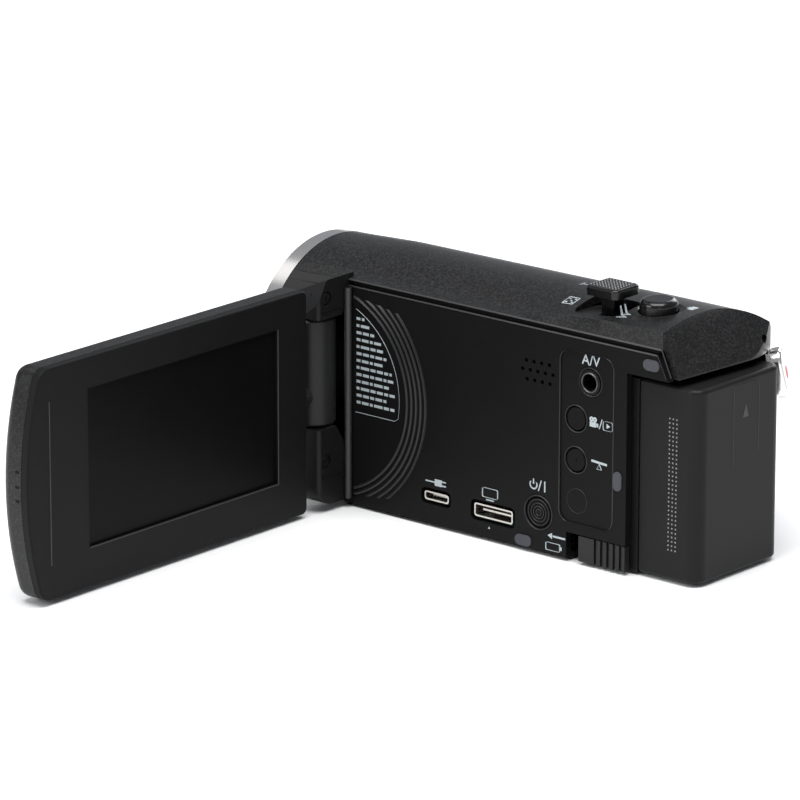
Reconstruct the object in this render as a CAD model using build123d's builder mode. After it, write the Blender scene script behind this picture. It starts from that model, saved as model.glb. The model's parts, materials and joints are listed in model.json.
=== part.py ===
"""A hand-held camcorder, modelled in its own frame in millimetres.

+X is the camcorder's left side, where the screen opens. -Y is the lens end, +Y the battery end.
+Z is up. The origin is the centre of the tripod socket's mouth, in the bottom face.
At rest the screen stands open at a right angle and faces the battery end.
"""
from build123d import *
import math
import os

os.makedirs("parts", exist_ok=True)

# ---------------------------------------------------------------- driving dimensions
WALL = 1.6                 # casing wall
GAP = 0.3                  # clearance between pieces that move past each other
SEAM = 0.1                 # gap left at a seam between two covers

PANEL_X = 17.0             # outer face of the flat left side
FRONT_Y = -52.4            # front end of the covers, where the ring sits
NECK_Y = -36.0             # the underside is flat from here back
DECK_START_Y = 10.0        # the top deck begins to rise out of the round top
DECK_FULL_Y = 34.0         # the deck has its full height from here back
REAR_Y = 54.4              # foot of the leaning rear face, at the left side
REAR_SLANT = 4.8           # the rear face turns back towards the right side, degrees
REAR_LEAN = 25.0           # the rear face leans forward at the top, degrees
REAR_ROUND = 7.0           # rounding between the rear face and the deck
RIGHT_CORNER = 19.0        # plan rounding of the rear right corner
AXIS_Z = 30.0              # height of the lens axis
FRONT_R = 25.2             # radius of the round front end
WAIST_R = 25.8             # radius of the round top behind the lens
REAR_R = 25.4              # radius of the round right side at the rear
TOP_Z = 56.0               # highest line of the body
RIM_Z = 51.4               # lower edge of the top cover, along the left side
KEEL_R = 14.0              # rounding between the right side and the underside
EDGE_BEVEL = (0.8, 0.8)    # bevel along the lower left edge
FRONT_BEVEL = (12.0, 8.0)  # the same bevel at the round front end
SHOULDER_X = 13.0          # where the round top ends and the slope down to the left side begins
DECK_SHOULDER = (15.2, 54.4)           # the same corner along the deck
REAR_CROWN_X = -1.0        # the deck's highest line at the rear
SPLIT_Z = 9.0              # seam between the main cover and the bottom cover

PANEL_T = 1.8              # left side panel
PANEL_TOP = 50.0
PANEL_REAR = 42.2          # the panel's rear edge, beside the battery
PANEL_EAVE = 44.7          # underside of the panel's part above the battery
STRIP_T = 1.1              # raised strip at the panel's front edge
STRIP_X = 18.6

HINGE_X = 22.4             # the screen's opening axis is vertical
HINGE_Y = -40.5
HINGE_PIN_R = 1.2
BARREL_R = 5.0
BARREL_Z = (19.4, 43.5)    # lower and upper end of the hinge barrel
BLOCK_X = 26.8             # outer face of the hinge cover
BLOCK_Y = (-50.4, -35.0)
BLOCK_Z = (1.7, 52.7)
SWIVEL_Y = -39.6           # the screen's second axis runs along X
SWIVEL_Z = 26.2
SWIVEL_R = 1.6
RUNNING = 0.05             # radial clearance of a shaft in its bore

SCREEN_X = (29.8, 112.4)   # hinge edge, and the free end's corners
SCREEN_BULGE = 4.4         # the free end bows out by this much
SCREEN_Z = (1.1, 51.3)
SCREEN_FACE = -35.7
SCREEN_T = 7.8
BEZEL_T = 1.8
DISPLAY_X = (39.2, 98.5)
DISPLAY_Z = (9.9, 44.5)
GLASS_RECESS = 0.8

RING_R = 25.0              # front ring
RING_Y = (-57.4, -52.5)
RING_BORE = 22.6

BATTERY_X = (-14.3, 14.5)
BATTERY_Y = (38.0, 59.4)
BATTERY_Z = (0.7, 43.2)
BATTERY_SEAM = 43.6
BATTERY_CORNER = 3.0
BATTERY_WALL = 1.2
BAY_X = (-14.9, 15.1)
BAY_Y = 37.6               # rear face of the bay's front wall
BAY_TOP = 44.9
BAY_T = 1.4

LEVER_Y = (29.5, 42.0)     # battery release lever
LEVER_Z = (0.8, 6.4)
LEVER_TRAVEL = 3.0

BARREL_BORE = 12.0         # lens barrel
BARREL_WALL = 1.4
BARREL_Y = (-48.0, -6.0)
LENS_R = 10.5
ROD_R = 0.8
ROD_X = 10.0
SHUTTER_TRAVEL = 7.6

SOCKET_R = 2.6             # tripod socket, for the usual 1/4 inch screw
SOCKET_DEPTH = 5.5

BELT_Y = (-36.0, 40.0)     # the grip belt's two ends
BELT_BOW = 14.0
BELT_T = 1.6
BELT_Z = (17.0, 37.0)
PAD_T = 4.0
PAD_Z = (13.5, 40.0)

# the front of the covers
NOSE_POINT = (13.0, -35.0, 52.35)      # the upper left shoulder is cut back through this point
NOSE_SLOPE = (0.587, -0.037, 0.809)    # and this is the direction the cut faces
CORNER_X = 7.0              # lower left corner of the nose, which is part of the hinge cover
CORNER_Y = -44.4
CORNER_TOP = 14.0
ZOOM = (8.3, 31.2)          # zoom lever's centre, seen from above
ZOOM_PLATE = (8.4, 8.8)
PLATE_Z = (58.2, 60.2)
ZOOM_STEM = (3.0, 3.4)
ZOOM_TRAVEL = 2.5
WELL_X = (3.4, 13.2)
WELL_Y = (23.9, 35.9)
WELL_R = 2.2
WELL_FLOOR = 53.6
PHOTO = (5.0, 41.0)         # photo button's centre
PHOTO_R = (4.3, 4.0)
DISH_R = 17.0               # hollow in the deck that the photo button stands in
DISH_DEPTH = 1.0
REC = (-19.3, 56.6, 39.8)   # middle of the record button's outer face
REC_TURN = 30.0             # it faces this far round towards the right side, degrees
REC_TILT = 13.0             # and this far upwards
REC_SIZE = (7.2, 10.8)
REC_CAP = 2.4               # thickness of its cap, over a thin stem
REC_TRAVEL = 0.6
LAMP = (-12.9, 48.2)
DOOR_X = (-11.4, 12.9)      # card door in the underside
DOOR_Y = (16.6, 24.9)
DOOR_T = 1.6
DC_Y = 30.0
DC_Z = 12.0
DC_R = 2.9
FOOT_SCREWS = [(-6.0, -32.0), (9.5, -24.0), (-9.5, 32.0), (7.0, 32.0)]

# the flat left side: ports, buttons and the speaker open through it
PANEL_IN = PANEL_X - PANEL_T
POWER = (18.6, 9.4)
POWER_R = 3.1
MODE_BUTTON = (28.5, 32.1)
LEVEL_BUTTON = (28.5, 23.0)
SMALL_R = 2.5
AV_JACK = (32.3, 40.8)
AV_R = 2.8
AV_BORE = 1.8
USB_Y = (-13.4, -6.6)
USB_Z = (5.9, 7.9)
HDMI_Y = (0.6, 11.3)
HDMI_Z = (5.0, 8.0)
SHELL_T = 0.35
SPEAKER_ROWS = [((15.0, 42.5), 4), ((13.96, 40.5), 5), ((15.2, 38.4), 4)]
SPEAKER_PITCH = 2.08
BUMPERS = [(48.7, 47.6, 2.1, 1.2), (40.0, 20.6, 1.1, 2.1), (14.55, 2.4, 2.2, 1.2)]
BUMPER_PROUD = 0.3
ZONE_Y = (24.2, 38.7)
ZONE_Z = (9.0, 46.9)
ARC_CENTRE = (-41.2, 26.1)
ARC_RADII = [23.0, 24.3, 25.6, 26.9, 28.2]

# hinge
BLOCK_SCREWS = [(24.0, 48.4), (24.3, 11.8)]
# two planes that cut the block's upper corners back to the nose: a point on each, and its direction
BLOCK_FACETS = [
    ((28.5, -35.0, 44.5), (0.832, -0.333, 0.444)),
    ((20.0, -35.0, 52.6), (0.0, -0.41, 0.912)),
]
PIN_Z = (BARREL_Z[0] - 4.8, BARREL_Z[1] + 2.9)
SLOT_Z = (BARREL_Z[0] - 0.35, BARREL_Z[1] + 0.35)
BOSS_R = 2.4               # boss that carries the screen, on the barrel
SHAFT_X = (HINGE_X + HINGE_PIN_R + 1.2, 37.4)
SCREW_HEAD_R = 1.25        # hinge cover screws
SCREW_SHANK_R = 0.75
SCREW_DEPTH = 3.8

# screen
SCREEN_BACK = SCREEN_FACE - SCREEN_T
BEZEL_BACK = SCREEN_FACE - BEZEL_T
SCREEN_WALL = 1.3
BUSH_X = (31.4, 36.0)

# front end and lens
APERTURE = (22.0, 13.0)    # the window that the two shutters close
FASCIA_Y = -50.6
SHUTTER_T = 0.6
SHUTTER_Y = (FASCIA_Y + 0.4, FASCIA_Y + 0.4 + SHUTTER_T)
SHUTTER_HALF = APERTURE[1] / 2 + 0.8
MIC_X = 7.0                # microphones, each side of the lens axis and below it
MIC_DROP = 18.6
MIC_R = 2.3
LENS_SEAT_Y = (-47.6, -43.0)
LENS_DOME_R = 24.0
BARREL_END = 1.6           # thickness of the barrel's rear wall
ROD_Y = (LENS_SEAT_Y[1] + 0.1, BARREL_Y[1] - BARREL_END - 0.1)
GROUP_R = 8.0              # moving lens holders
GROUP_GLASS_R = 6.0
ZOOM_GROUP_Y = (-38.0, -33.0)
FOCUS_GROUP_Y = (-15.0, -12.0)
SENSOR_BOARD = 11.0        # half of the sensor board's width

# inside
CHASSIS_X = -16.4
CHASSIS_T = 1.0
BOARD_X = (-12.6, -11.4)
READER_X = (-11.6, 13.3)
READER_Y = (20.6, 25.0)
CONTACTS_X = [-6.0, -2.0, 2.0, 6.0]
PORT_BOARD_TOP = 4.4
HINGE_LINE = (DOOR_Y[0] + 0.8, 0.8)    # the card door's own hinge line, as y and z
DOOR_PIN_R = 0.4
SWITCH = 2.0               # half of a small switch's width

# grip belt
BELT_X = -28.6             # the bars that the belt's ends go round
BELT_BAR_R = 0.7
BELT_BAR_OUT = 1.4         # each bar stands this far beyond its end of the belt
LOOPS_Z = [(15.2, 17.2), (36.8, 38.8)]
PAD_HALF = 24.0
BELT_HALF = (BELT_Y[1] - BELT_Y[0]) / 2
BELT_MID = (BELT_Y[1] + BELT_Y[0]) / 2
BELT_RADIUS = (BELT_HALF**2 + BELT_BOW**2) / (2 * BELT_BOW)
BELT_CENTRE = (BELT_X - BELT_BOW + BELT_RADIUS, BELT_MID)
PAD_OUTER = BELT_RADIUS - BELT_T / 2 - GAP


# ---------------------------------------------------------------- shared shapes
def finish(piece, name):
    """Label a finished piece and write it out under its own name."""
    piece.part.label = name
    export_step(piece.part, f"parts/{name}.step")
    print(name, len(piece.part.solids()), round(piece.part.volume, 1))


def cross_plane(y):
    """The plane across the body at y: its own x and y run along X and Z, and it faces the lens end."""
    return Plane.XZ.offset(-y)


def side_plane(x):
    """The plane along the body at x: its own x and y run along Y and Z, and it faces the left."""
    return Plane.YZ.offset(x)


def block(x, y, z, mode=Mode.ADD):
    """A block between a lower and an upper limit on each axis."""
    with Locations(((x[0] + x[1]) / 2, (y[0] + y[1]) / 2, (z[0] + z[1]) / 2)):
        Box(x[1] - x[0], y[1] - y[0], z[1] - z[0], mode=mode)


def rod_x(y, z, radius, x, mode=Mode.ADD):
    """A round bar along X between two limits."""
    with Locations(Location(((x[0] + x[1]) / 2, y, z), (0, 90, 0))):
        Cylinder(radius, x[1] - x[0], mode=mode)


def rod_y(x, z, radius, y, mode=Mode.ADD):
    """A round bar along Y between two limits."""
    with Locations(Location((x, (y[0] + y[1]) / 2, z), (90, 0, 0))):
        Cylinder(radius, y[1] - y[0], mode=mode)


def rod_z(x, y, radius, z, mode=Mode.ADD):
    """A round bar along Z between two limits."""
    with Locations((x, y, (z[0] + z[1]) / 2)):
        Cylinder(radius, z[1] - z[0], mode=mode)


def slot_x(y, z, half_y, half_z, x, mode=Mode.ADD):
    """A bar along X with an oval section, at y and z."""
    with BuildSketch(Plane.YZ.offset(x[0])) as oval:
        with Locations((y, z)):
            RectangleRounded(2 * half_y, 2 * half_z, min(half_y, half_z) - 0.02)
    extrude(oval.sketch, amount=x[1] - x[0], mode=mode)


# ---------------------------------------------------------------- the body's outer form
def body_section(y, radius, crown_x, top, bottom, keel, ridge, bevel, inset):
    """One cross-section: flat left side, shoulder, round top and right side, flat underside.

    ridge is the shoulder's corner, as x and z, where the slope above the left side meets the top.
    bevel is the width and height that is cut off the lower left corner.
    """
    left = PANEL_X - inset
    right = crown_x - radius + inset
    rim = RIM_Z - inset
    foot = bottom + inset
    corner = keel - inset
    with BuildSketch(cross_plane(y)) as outline:
        with BuildLine():
            Line((left, foot + bevel[1]), (left, rim))
            Line((left, rim), (ridge[0] - 0.6 * inset, ridge[1] - inset))
            TangentArc((crown_x, top - inset), (ridge[0] - 0.6 * inset, ridge[1] - inset), tangent=(1, 0))
            RadiusArc((crown_x, top - inset), (right, top - radius), -(radius - inset))
            Line((right, top - radius), (right, foot + corner))
            RadiusArc((right, foot + corner), (right + corner, foot), -corner)
            Line((right + corner, foot), (left - bevel[0], foot))
            Line((left - bevel[0], foot), (left, foot + bevel[1]))
        make_face()
    return outline.sketch


def circle_height(radius, x):
    """Height of the round top above x."""
    return AXIS_Z + math.sqrt(radius * radius - x * x)


def rear_trim(inset):
    """The space that the leaning, rounded rear end leaves for the body."""
    along = Vector(math.cos(math.radians(REAR_SLANT)), -math.sin(math.radians(REAR_SLANT)), 0)
    foot_y = REAR_Y - inset
    lean = math.tan(math.radians(REAR_LEAN))
    top = TOP_Z + 1 - inset
    start = Vector(PANEL_X, 0, 0) + along * 10
    with BuildPart() as trim:
        with BuildSketch(Plane(origin=start, x_dir=(-along.Y, along.X, 0), z_dir=along)) as side:
            with BuildLine():
                Polyline(
                    (-90, -10),
                    (foot_y, -10),
                    (foot_y, BAY_TOP),
                    (foot_y - lean * (top - BAY_TOP), top),
                    (-90, top),
                    close=True,
                )
            make_face()
            high = side.vertices().group_by(Axis.Z)[-1].sort_by(Axis.Y)[-1]
            fillet(high, radius=REAR_ROUND - inset)
        extrude(amount=-80)
    return trim.part


def plan_outline(inset):
    """The body seen from above, with its rounded rear right corner."""
    slope = math.tan(math.radians(REAR_SLANT))
    right = REAR_CROWN_X - REAR_R + inset
    rear_left = REAR_Y - inset + (PANEL_X - 60) * slope
    rear_right = REAR_Y - inset + (PANEL_X - right) * slope
    with BuildSketch() as plan:
        with BuildLine():
            Polyline((60, -80), (60, rear_left), (right, rear_right), (right, -80), close=True)
        make_face()
        rear_corner = plan.vertices().sort_by(Axis.Y)[-1]
        fillet(rear_corner, radius=RIGHT_CORNER - inset)
    return plan.sketch


def body_form(inset):
    """The whole outer form, drawn in by inset all round."""
    front_radius = FRONT_R - 0.1
    start_radius = WAIST_R + 0.2
    front_shoulder = (SHOULDER_X, circle_height(front_radius, SHOULDER_X))
    waist_shoulder = (SHOULDER_X, circle_height(WAIST_R, SHOULDER_X))
    start_shoulder = (SHOULDER_X + 0.6, circle_height(start_radius, SHOULDER_X + 0.6))
    with BuildPart() as form:
        front = body_section(
            FRONT_Y + inset, front_radius, 0, AXIS_Z + front_radius, AXIS_Z - front_radius,
            front_radius - 0.1, front_shoulder, FRONT_BEVEL, inset,
        )
        neck = body_section(
            NECK_Y, WAIST_R, 0, AXIS_Z + WAIST_R, 0, KEEL_R, waist_shoulder, EDGE_BEVEL, inset
        )
        start = body_section(
            DECK_START_Y, start_radius, 0, TOP_Z, 0, KEEL_R, start_shoulder, EDGE_BEVEL, inset
        )
        deck = body_section(
            DECK_FULL_Y, REAR_R, REAR_CROWN_X, TOP_Z, 0, KEEL_R, DECK_SHOULDER, EDGE_BEVEL, inset
        )
        rear = body_section(
            REAR_Y + 8, REAR_R, REAR_CROWN_X, TOP_Z, 0, KEEL_R, DECK_SHOULDER, EDGE_BEVEL, inset
        )
        loft([front, neck])
        loft([neck, start])
        loft([start, deck])
        loft([deck, rear])
        add(rear_trim(inset), mode=Mode.INTERSECT)
        extrude(plan_outline(inset), amount=80, mode=Mode.INTERSECT)
    return form.part


def block_form(inset):
    """The hinge cover's swelling: it grows out of the round nose to a flat-sided block."""
    with BuildPart() as form:
        with BuildSketch(cross_plane(BLOCK_Y[0] + inset)) as small:
            with Locations((14.0, AXIS_Z - 1)):
                RectangleRounded(19.0 - 2 * inset, 33.0 - 2 * inset, 8.0 - inset)
        with BuildSketch(cross_plane(BLOCK_Y[0] + 9)) as large:
            with Locations(((BLOCK_X + 6) / 2, (BLOCK_Z[0] + BLOCK_Z[1]) / 2)):
                RectangleRounded(
                    BLOCK_X - 6 - 2 * inset, BLOCK_Z[1] - BLOCK_Z[0] - 2 * inset, 4.5 - inset
                )
        loft([small.sketch, large.sketch])
        extrude(large.sketch, amount=-(BLOCK_Y[1] - BLOCK_Y[0] - 9 - inset))
    return form.part


def sloped_nose(form, inset):
    """The form with its upper left shoulder cut back in front of the flat side."""
    out = Vector(*NOSE_SLOPE)
    with BuildPart() as shoulder:
        with BuildSketch(Plane(origin=Vector(*NOSE_POINT) - out * inset, z_dir=out)) as slope:
            Rectangle(90, 90)
        extrude(slope.sketch, amount=30)
        block((12, 60), (-90, BLOCK_Y[1]), (AXIS_Z, 90), mode=Mode.INTERSECT)
    return form - shoulder.part


OUTER = sloped_nose(body_form(0), 0)
INNER = sloped_nose(body_form(WALL), WALL)
BLOCK = block_form(0)
# the part of the outer form in front of the flat side
OUTER_NOSE = OUTER & Pos(50, -60, 50) * Box(100, 2 * (BLOCK_Y[1] + 60), 200)


# ---------------------------------------------------------------- casing
def battery_bay_cut(grow):
    """The space that the battery bay takes out of the casing."""
    block((BAY_X[0] - grow, 40), (BAY_Y - BAY_T - grow, 80), (-5, BAY_TOP + grow), mode=Mode.SUBTRACT)


def lever_notch_cut():
    """The notch in the lower rear left corner where the battery release lever slides."""
    notch_y = (LEVER_Y[0] - LEVER_TRAVEL - GAP, BAY_Y + 20)
    block((12.2, 30), notch_y, (-5, LEVER_Z[1] + GAP), mode=Mode.SUBTRACT)


def zoom_well(inset, z, mode=Mode.ADD):
    """The round-cornered hollow that the zoom lever slides in."""
    with BuildSketch(Plane.XY.offset(z[0])) as hollow:
        with Locations(((WELL_X[0] + WELL_X[1]) / 2, (WELL_Y[0] + WELL_Y[1]) / 2)):
            RectangleRounded(
                WELL_X[1] - WELL_X[0] - 2 * inset, WELL_Y[1] - WELL_Y[0] - 2 * inset, WELL_R - inset
            )
    extrude(hollow.sketch, amount=z[1] - z[0], mode=mode)


def rec_plane(depth):
    """The record button's own plane, depth below its outer face. It faces outwards."""
    turn = math.radians(REC_TURN)
    tilt = math.radians(REC_TILT)
    out = Vector(-math.sin(turn) * math.cos(tilt), math.cos(turn) * math.cos(tilt), math.sin(tilt))
    origin = Vector(REC[0], REC[1], REC[2]) - out * depth
    return Plane(origin=origin, x_dir=(math.cos(turn), math.sin(turn), 0), z_dir=out)


def rec_oval(depth, length, grow, mode=Mode.ADD):
    """A rounded slab in line with the record button."""
    with BuildSketch(rec_plane(depth)) as oval:
        RectangleRounded(REC_SIZE[0] + 2 * grow, REC_SIZE[1] + 2 * grow, 2.6 + grow)
    extrude(oval.sketch, amount=length, mode=mode)


def rec_stem(depth, length, radius, mode=Mode.ADD):
    """A round bar in line with the record button."""
    with BuildSketch(rec_plane(depth)) as disc:
        Circle(radius)
    extrude(disc.sketch, amount=length, mode=mode)


with BuildPart() as main_cover:
    add(OUTER)
    add(INNER, mode=Mode.SUBTRACT)
    block((-60, 60), (-90, 90), (-10, SPLIT_Z + SEAM), mode=Mode.SUBTRACT)
    block((PANEL_IN - SEAM, 60), (-90, 90), (-10, RIM_Z - 0.1), mode=Mode.SUBTRACT)
    block((PANEL_IN - SEAM, 60), (-90, BLOCK_Y[1]), (-10, 80), mode=Mode.SUBTRACT)
    # the hinge cover carries this lower corner of the nose
    block((CORNER_X - SEAM, 60), (-90, CORNER_Y + SEAM), (-10, CORNER_TOP), mode=Mode.SUBTRACT)
    battery_bay_cut(SEAM)
    zoom_well(0, (48, 70), mode=Mode.SUBTRACT)
    with Locations((PHOTO[0], PHOTO[1], TOP_Z - DISH_DEPTH + DISH_R)):
        Sphere(DISH_R, mode=Mode.SUBTRACT)
    with BuildSketch(Plane.XY.offset(48)) as photo_hole:
        with Locations(PHOTO):
            Ellipse(PHOTO_R[0] + GAP, PHOTO_R[1] + GAP)
    extrude(photo_hole.sketch, amount=20, mode=Mode.SUBTRACT)
    rec_oval(REC_CAP + REC_TRAVEL + GAP, 20.0, GAP, mode=Mode.SUBTRACT)
    rec_stem(7.0, 20.0, 1.0 + GAP, mode=Mode.SUBTRACT)
    rod_y(0, AXIS_Z, RING_BORE + 0.05, (-60, -50), mode=Mode.SUBTRACT)
    rod_y(LAMP[0], LAMP[1], 0.9, (40, 70), mode=Mode.SUBTRACT)
    rod_x(DC_Y, DC_Z, DC_R + 0.05, (-40, -20), mode=Mode.SUBTRACT)
    # two loops on the right side hold the grip belt's bars
    for y, away in ((BELT_Y[0], -1), (BELT_Y[1], 1)):
        bar_y = y + away * BELT_BAR_OUT
        for loop_z in LOOPS_Z:
            block((BELT_X - 1.0, BELT_X + 4.0), (bar_y - 1.0, bar_y + 1.0), loop_z)
finish(main_cover, "main_cover")

with BuildPart() as bottom_cover:
    add(OUTER)
    add(INNER, mode=Mode.SUBTRACT)
    block((-60, 60), (-90, 90), (SPLIT_Z, 90), mode=Mode.SUBTRACT)
    block((PANEL_IN - SEAM, 60), (-90, 90), (-10, 90), mode=Mode.SUBTRACT)
    battery_bay_cut(SEAM)
    lever_notch_cut()
    rod_y(0, AXIS_Z, RING_BORE + 0.05, (-60, -50), mode=Mode.SUBTRACT)
    rod_z(0, 0, 5.1, (-1, 3), mode=Mode.SUBTRACT)
    block(
        (DOOR_X[0] - GAP, DOOR_X[1] + GAP),
        (DOOR_Y[0] - GAP, DOOR_Y[1] + GAP),
        (-1, 4),
        mode=Mode.SUBTRACT,
    )
    rod_x(*HINGE_LINE, DOOR_PIN_R + 0.02, (DOOR_X[0] - 1.4, DOOR_X[1] + 1.4), mode=Mode.SUBTRACT)
    for x, y in FOOT_SCREWS:
        rod_z(x, y, 1.0, (-1, 4), mode=Mode.SUBTRACT)
        rod_z(x, y, 1.9, (-1, 0.9), mode=Mode.SUBTRACT)
finish(bottom_cover, "bottom_cover")

with BuildPart() as side_panel:
    with BuildSketch(side_plane(PANEL_IN)) as outline:
        with BuildLine():
            Polyline(
                (BLOCK_Y[1], LEVER_Z[0]),
                (LEVER_Y[0] - LEVER_TRAVEL - GAP, LEVER_Z[0]),
                (LEVER_Y[0] - LEVER_TRAVEL - GAP, LEVER_Z[1] + GAP),
                (PANEL_REAR, LEVER_Z[1] + GAP),
                (PANEL_REAR, PANEL_EAVE),
                (53.2, PANEL_EAVE),
                (50.4, PANEL_TOP),
                (BLOCK_Y[1], PANEL_TOP),
                close=True,
            )
        make_face()
    extrude(outline.sketch, amount=PANEL_T)
    # lip behind the dark groove along the top cover's edge
    block((PANEL_IN, PANEL_X - 0.8), (BLOCK_Y[1], 50.0), (PANEL_TOP - 0.5, RIM_Z - 0.2))
    # raised strip beside the hinge cover
    block((PANEL_IN, STRIP_X), (BLOCK_Y[1], BLOCK_Y[1] + STRIP_T), (2.0, PANEL_TOP))
    fillet(side_panel.edges().filter_by(Axis.Z).group_by(Axis.X)[-1], radius=0.45)
    # recessed field around the jack and the two small buttons
    with BuildSketch(side_plane(PANEL_X - 0.25)) as field:
        with Locations(((ZONE_Y[0] + ZONE_Y[1]) / 2, (ZONE_Z[0] + ZONE_Z[1]) / 2)):
            RectangleRounded(ZONE_Y[1] - ZONE_Y[0], ZONE_Z[1] - ZONE_Z[0], 2.5)
    extrude(field.sketch, amount=2, mode=Mode.SUBTRACT)
    # openings
    through = (PANEL_IN - 1, PANEL_X + 2)
    rod_x(AV_JACK[0], AV_JACK[1], AV_R + 0.05, through, mode=Mode.SUBTRACT)
    rod_x(POWER[0], POWER[1], POWER_R + 0.25, through, mode=Mode.SUBTRACT)
    rod_x(POWER[0], POWER[1], POWER_R + 0.9, (PANEL_X - 0.5, PANEL_X + 2), mode=Mode.SUBTRACT)
    for y, z in (MODE_BUTTON, LEVEL_BUTTON):
        rod_x(y, z, SMALL_R + 0.25, through, mode=Mode.SUBTRACT)
        rod_x(y, z, SMALL_R + 0.6, (PANEL_X - 0.6, PANEL_X + 2), mode=Mode.SUBTRACT)
    for (y, z), count in SPEAKER_ROWS:
        for n in range(count):
            rod_x(y + n * SPEAKER_PITCH, z, 0.45, through, mode=Mode.SUBTRACT)
    for y, z in ((USB_Y, USB_Z), (HDMI_Y, HDMI_Z)):
        with BuildSketch(side_plane(PANEL_IN - 1)) as mouth:
            with Locations(((y[0] + y[1]) / 2, (z[0] + z[1]) / 2)):
                RectangleRounded(y[1] - y[0] + 1.6, z[1] - z[0] + 1.6, 1.2)
        extrude(mouth.sketch, amount=5, mode=Mode.SUBTRACT)
    for y, z, half_y, half_z in BUMPERS:
        slot_x(y, z, half_y + 0.05, half_z + 0.05, (PANEL_X - 0.8, PANEL_X + 2), mode=Mode.SUBTRACT)
    # raised arcs round the hinge, clipped by the panel's edges
    with BuildSketch(side_plane(PANEL_X)) as arcs:
        for radius in ARC_RADII:
            with Locations(ARC_CENTRE):
                Circle(radius + 0.25)
                Circle(radius - 0.25, mode=Mode.SUBTRACT)
        with Locations(((BLOCK_Y[1] + STRIP_T) + 15, (2.6 + 48.2) / 2)):
            Rectangle(30, 48.2 - 2.6, mode=Mode.INTERSECT)
    extrude(arcs.sketch, amount=0.25)
finish(side_panel, "side_panel")

with BuildPart() as rubber_bumpers:
    for y, z, half_y, half_z in BUMPERS:
        slot_x(y, z, half_y, half_z, (PANEL_X - 0.8, PANEL_X + BUMPER_PROUD))
finish(rubber_bumpers, "rubber_bumpers")

# ---------------------------------------------------------------- hinge
with BuildPart() as hinge_cover:
    add(BLOCK)
    for point, out in BLOCK_FACETS:
        with BuildSketch(Plane(origin=point, z_dir=out)) as facet:
            Rectangle(60, 60)
        extrude(facet.sketch, amount=20, mode=Mode.SUBTRACT)
    add(OUTER_NOSE)
    with BuildSketch(cross_plane(FRONT_Y)) as nose:
        with Locations((0, AXIS_Z)):
            Circle(FRONT_R)
    extrude(nose.sketch, amount=-12)
    with BuildSketch(cross_plane(FRONT_Y - 1)) as inside:
        with Locations((0, AXIS_Z)):
            Circle(FRONT_R - WALL)
    extrude(inside.sketch, amount=-20, mode=Mode.SUBTRACT)
    block((-60, PANEL_IN), (CORNER_Y, 90), (-10, 90), mode=Mode.SUBTRACT)
    block((-60, PANEL_IN), (-90, CORNER_Y), (CORNER_TOP, 90), mode=Mode.SUBTRACT)
    block((-60, PANEL_IN), (-90, CORNER_Y), (-10, SPLIT_Z + SEAM), mode=Mode.SUBTRACT)
    block((-60, CORNER_X), (-90, CORNER_Y), (-10, 90), mode=Mode.SUBTRACT)
    # the slot that the hinge barrel turns in
    block((PANEL_IN - 1, HINGE_X), (HINGE_Y - BARREL_R - GAP, 0), SLOT_Z, mode=Mode.SUBTRACT)
    block((HINGE_X - 1, 60), (HINGE_Y - BARREL_R - GAP, 0), SLOT_Z, mode=Mode.SUBTRACT)
    # holes for the hinge pin and screws
    rod_z(HINGE_X, HINGE_Y, HINGE_PIN_R + 0.02, (PIN_Z[0] - 0.3, PIN_Z[1] + 0.3), mode=Mode.SUBTRACT)
    for x, z in BLOCK_SCREWS:
        rod_y(x, z, SCREW_HEAD_R + 0.35, (BLOCK_Y[1] - 1.2, BLOCK_Y[1] + 1), mode=Mode.SUBTRACT)
        shank = (BLOCK_Y[1] - SCREW_DEPTH - 0.2, BLOCK_Y[1] + 1)
        rod_y(x, z, SCREW_SHANK_R + 0.05, shank, mode=Mode.SUBTRACT)
    # the outer rear corner is rounded so that the screen swings past it
    with BuildSketch(Plane.XY) as corner:
        with BuildLine():
            Line((BLOCK_X - 1.0, BLOCK_Y[1] + 1), (BLOCK_X + 1, BLOCK_Y[1] + 1))
            Line((BLOCK_X + 1, BLOCK_Y[1] + 1), (BLOCK_X + 1, BLOCK_Y[1] - 1.0))
            Line((BLOCK_X + 1, BLOCK_Y[1] - 1.0), (BLOCK_X, BLOCK_Y[1] - 1.0))
            RadiusArc((BLOCK_X, BLOCK_Y[1] - 1.0), (BLOCK_X - 1.0, BLOCK_Y[1]), -1.0)
            Line((BLOCK_X - 1.0, BLOCK_Y[1]), (BLOCK_X - 1.0, BLOCK_Y[1] + 1))
        make_face()
    extrude(corner.sketch, amount=80, mode=Mode.SUBTRACT)
finish(hinge_cover, "hinge_cover")

with BuildPart() as hinge_pin:
    rod_z(HINGE_X, HINGE_Y, HINGE_PIN_R, PIN_Z)
finish(hinge_pin, "hinge_pin")

with BuildPart() as hinge_screws:
    for x, z in BLOCK_SCREWS:
        rod_y(x, z, SCREW_HEAD_R, (BLOCK_Y[1] - 1.2, BLOCK_Y[1] - 0.35))
        rod_y(x, z, SCREW_SHANK_R, (BLOCK_Y[1] - SCREW_DEPTH, BLOCK_Y[1] - 1.0))
        for turn in (0, 90):
            with Locations(Location((x, BLOCK_Y[1] - 0.35, z), (0, turn, 0))):
                Box(1.5, 0.7, 0.3, mode=Mode.SUBTRACT)
finish(hinge_screws, "hinge_screws")

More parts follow.
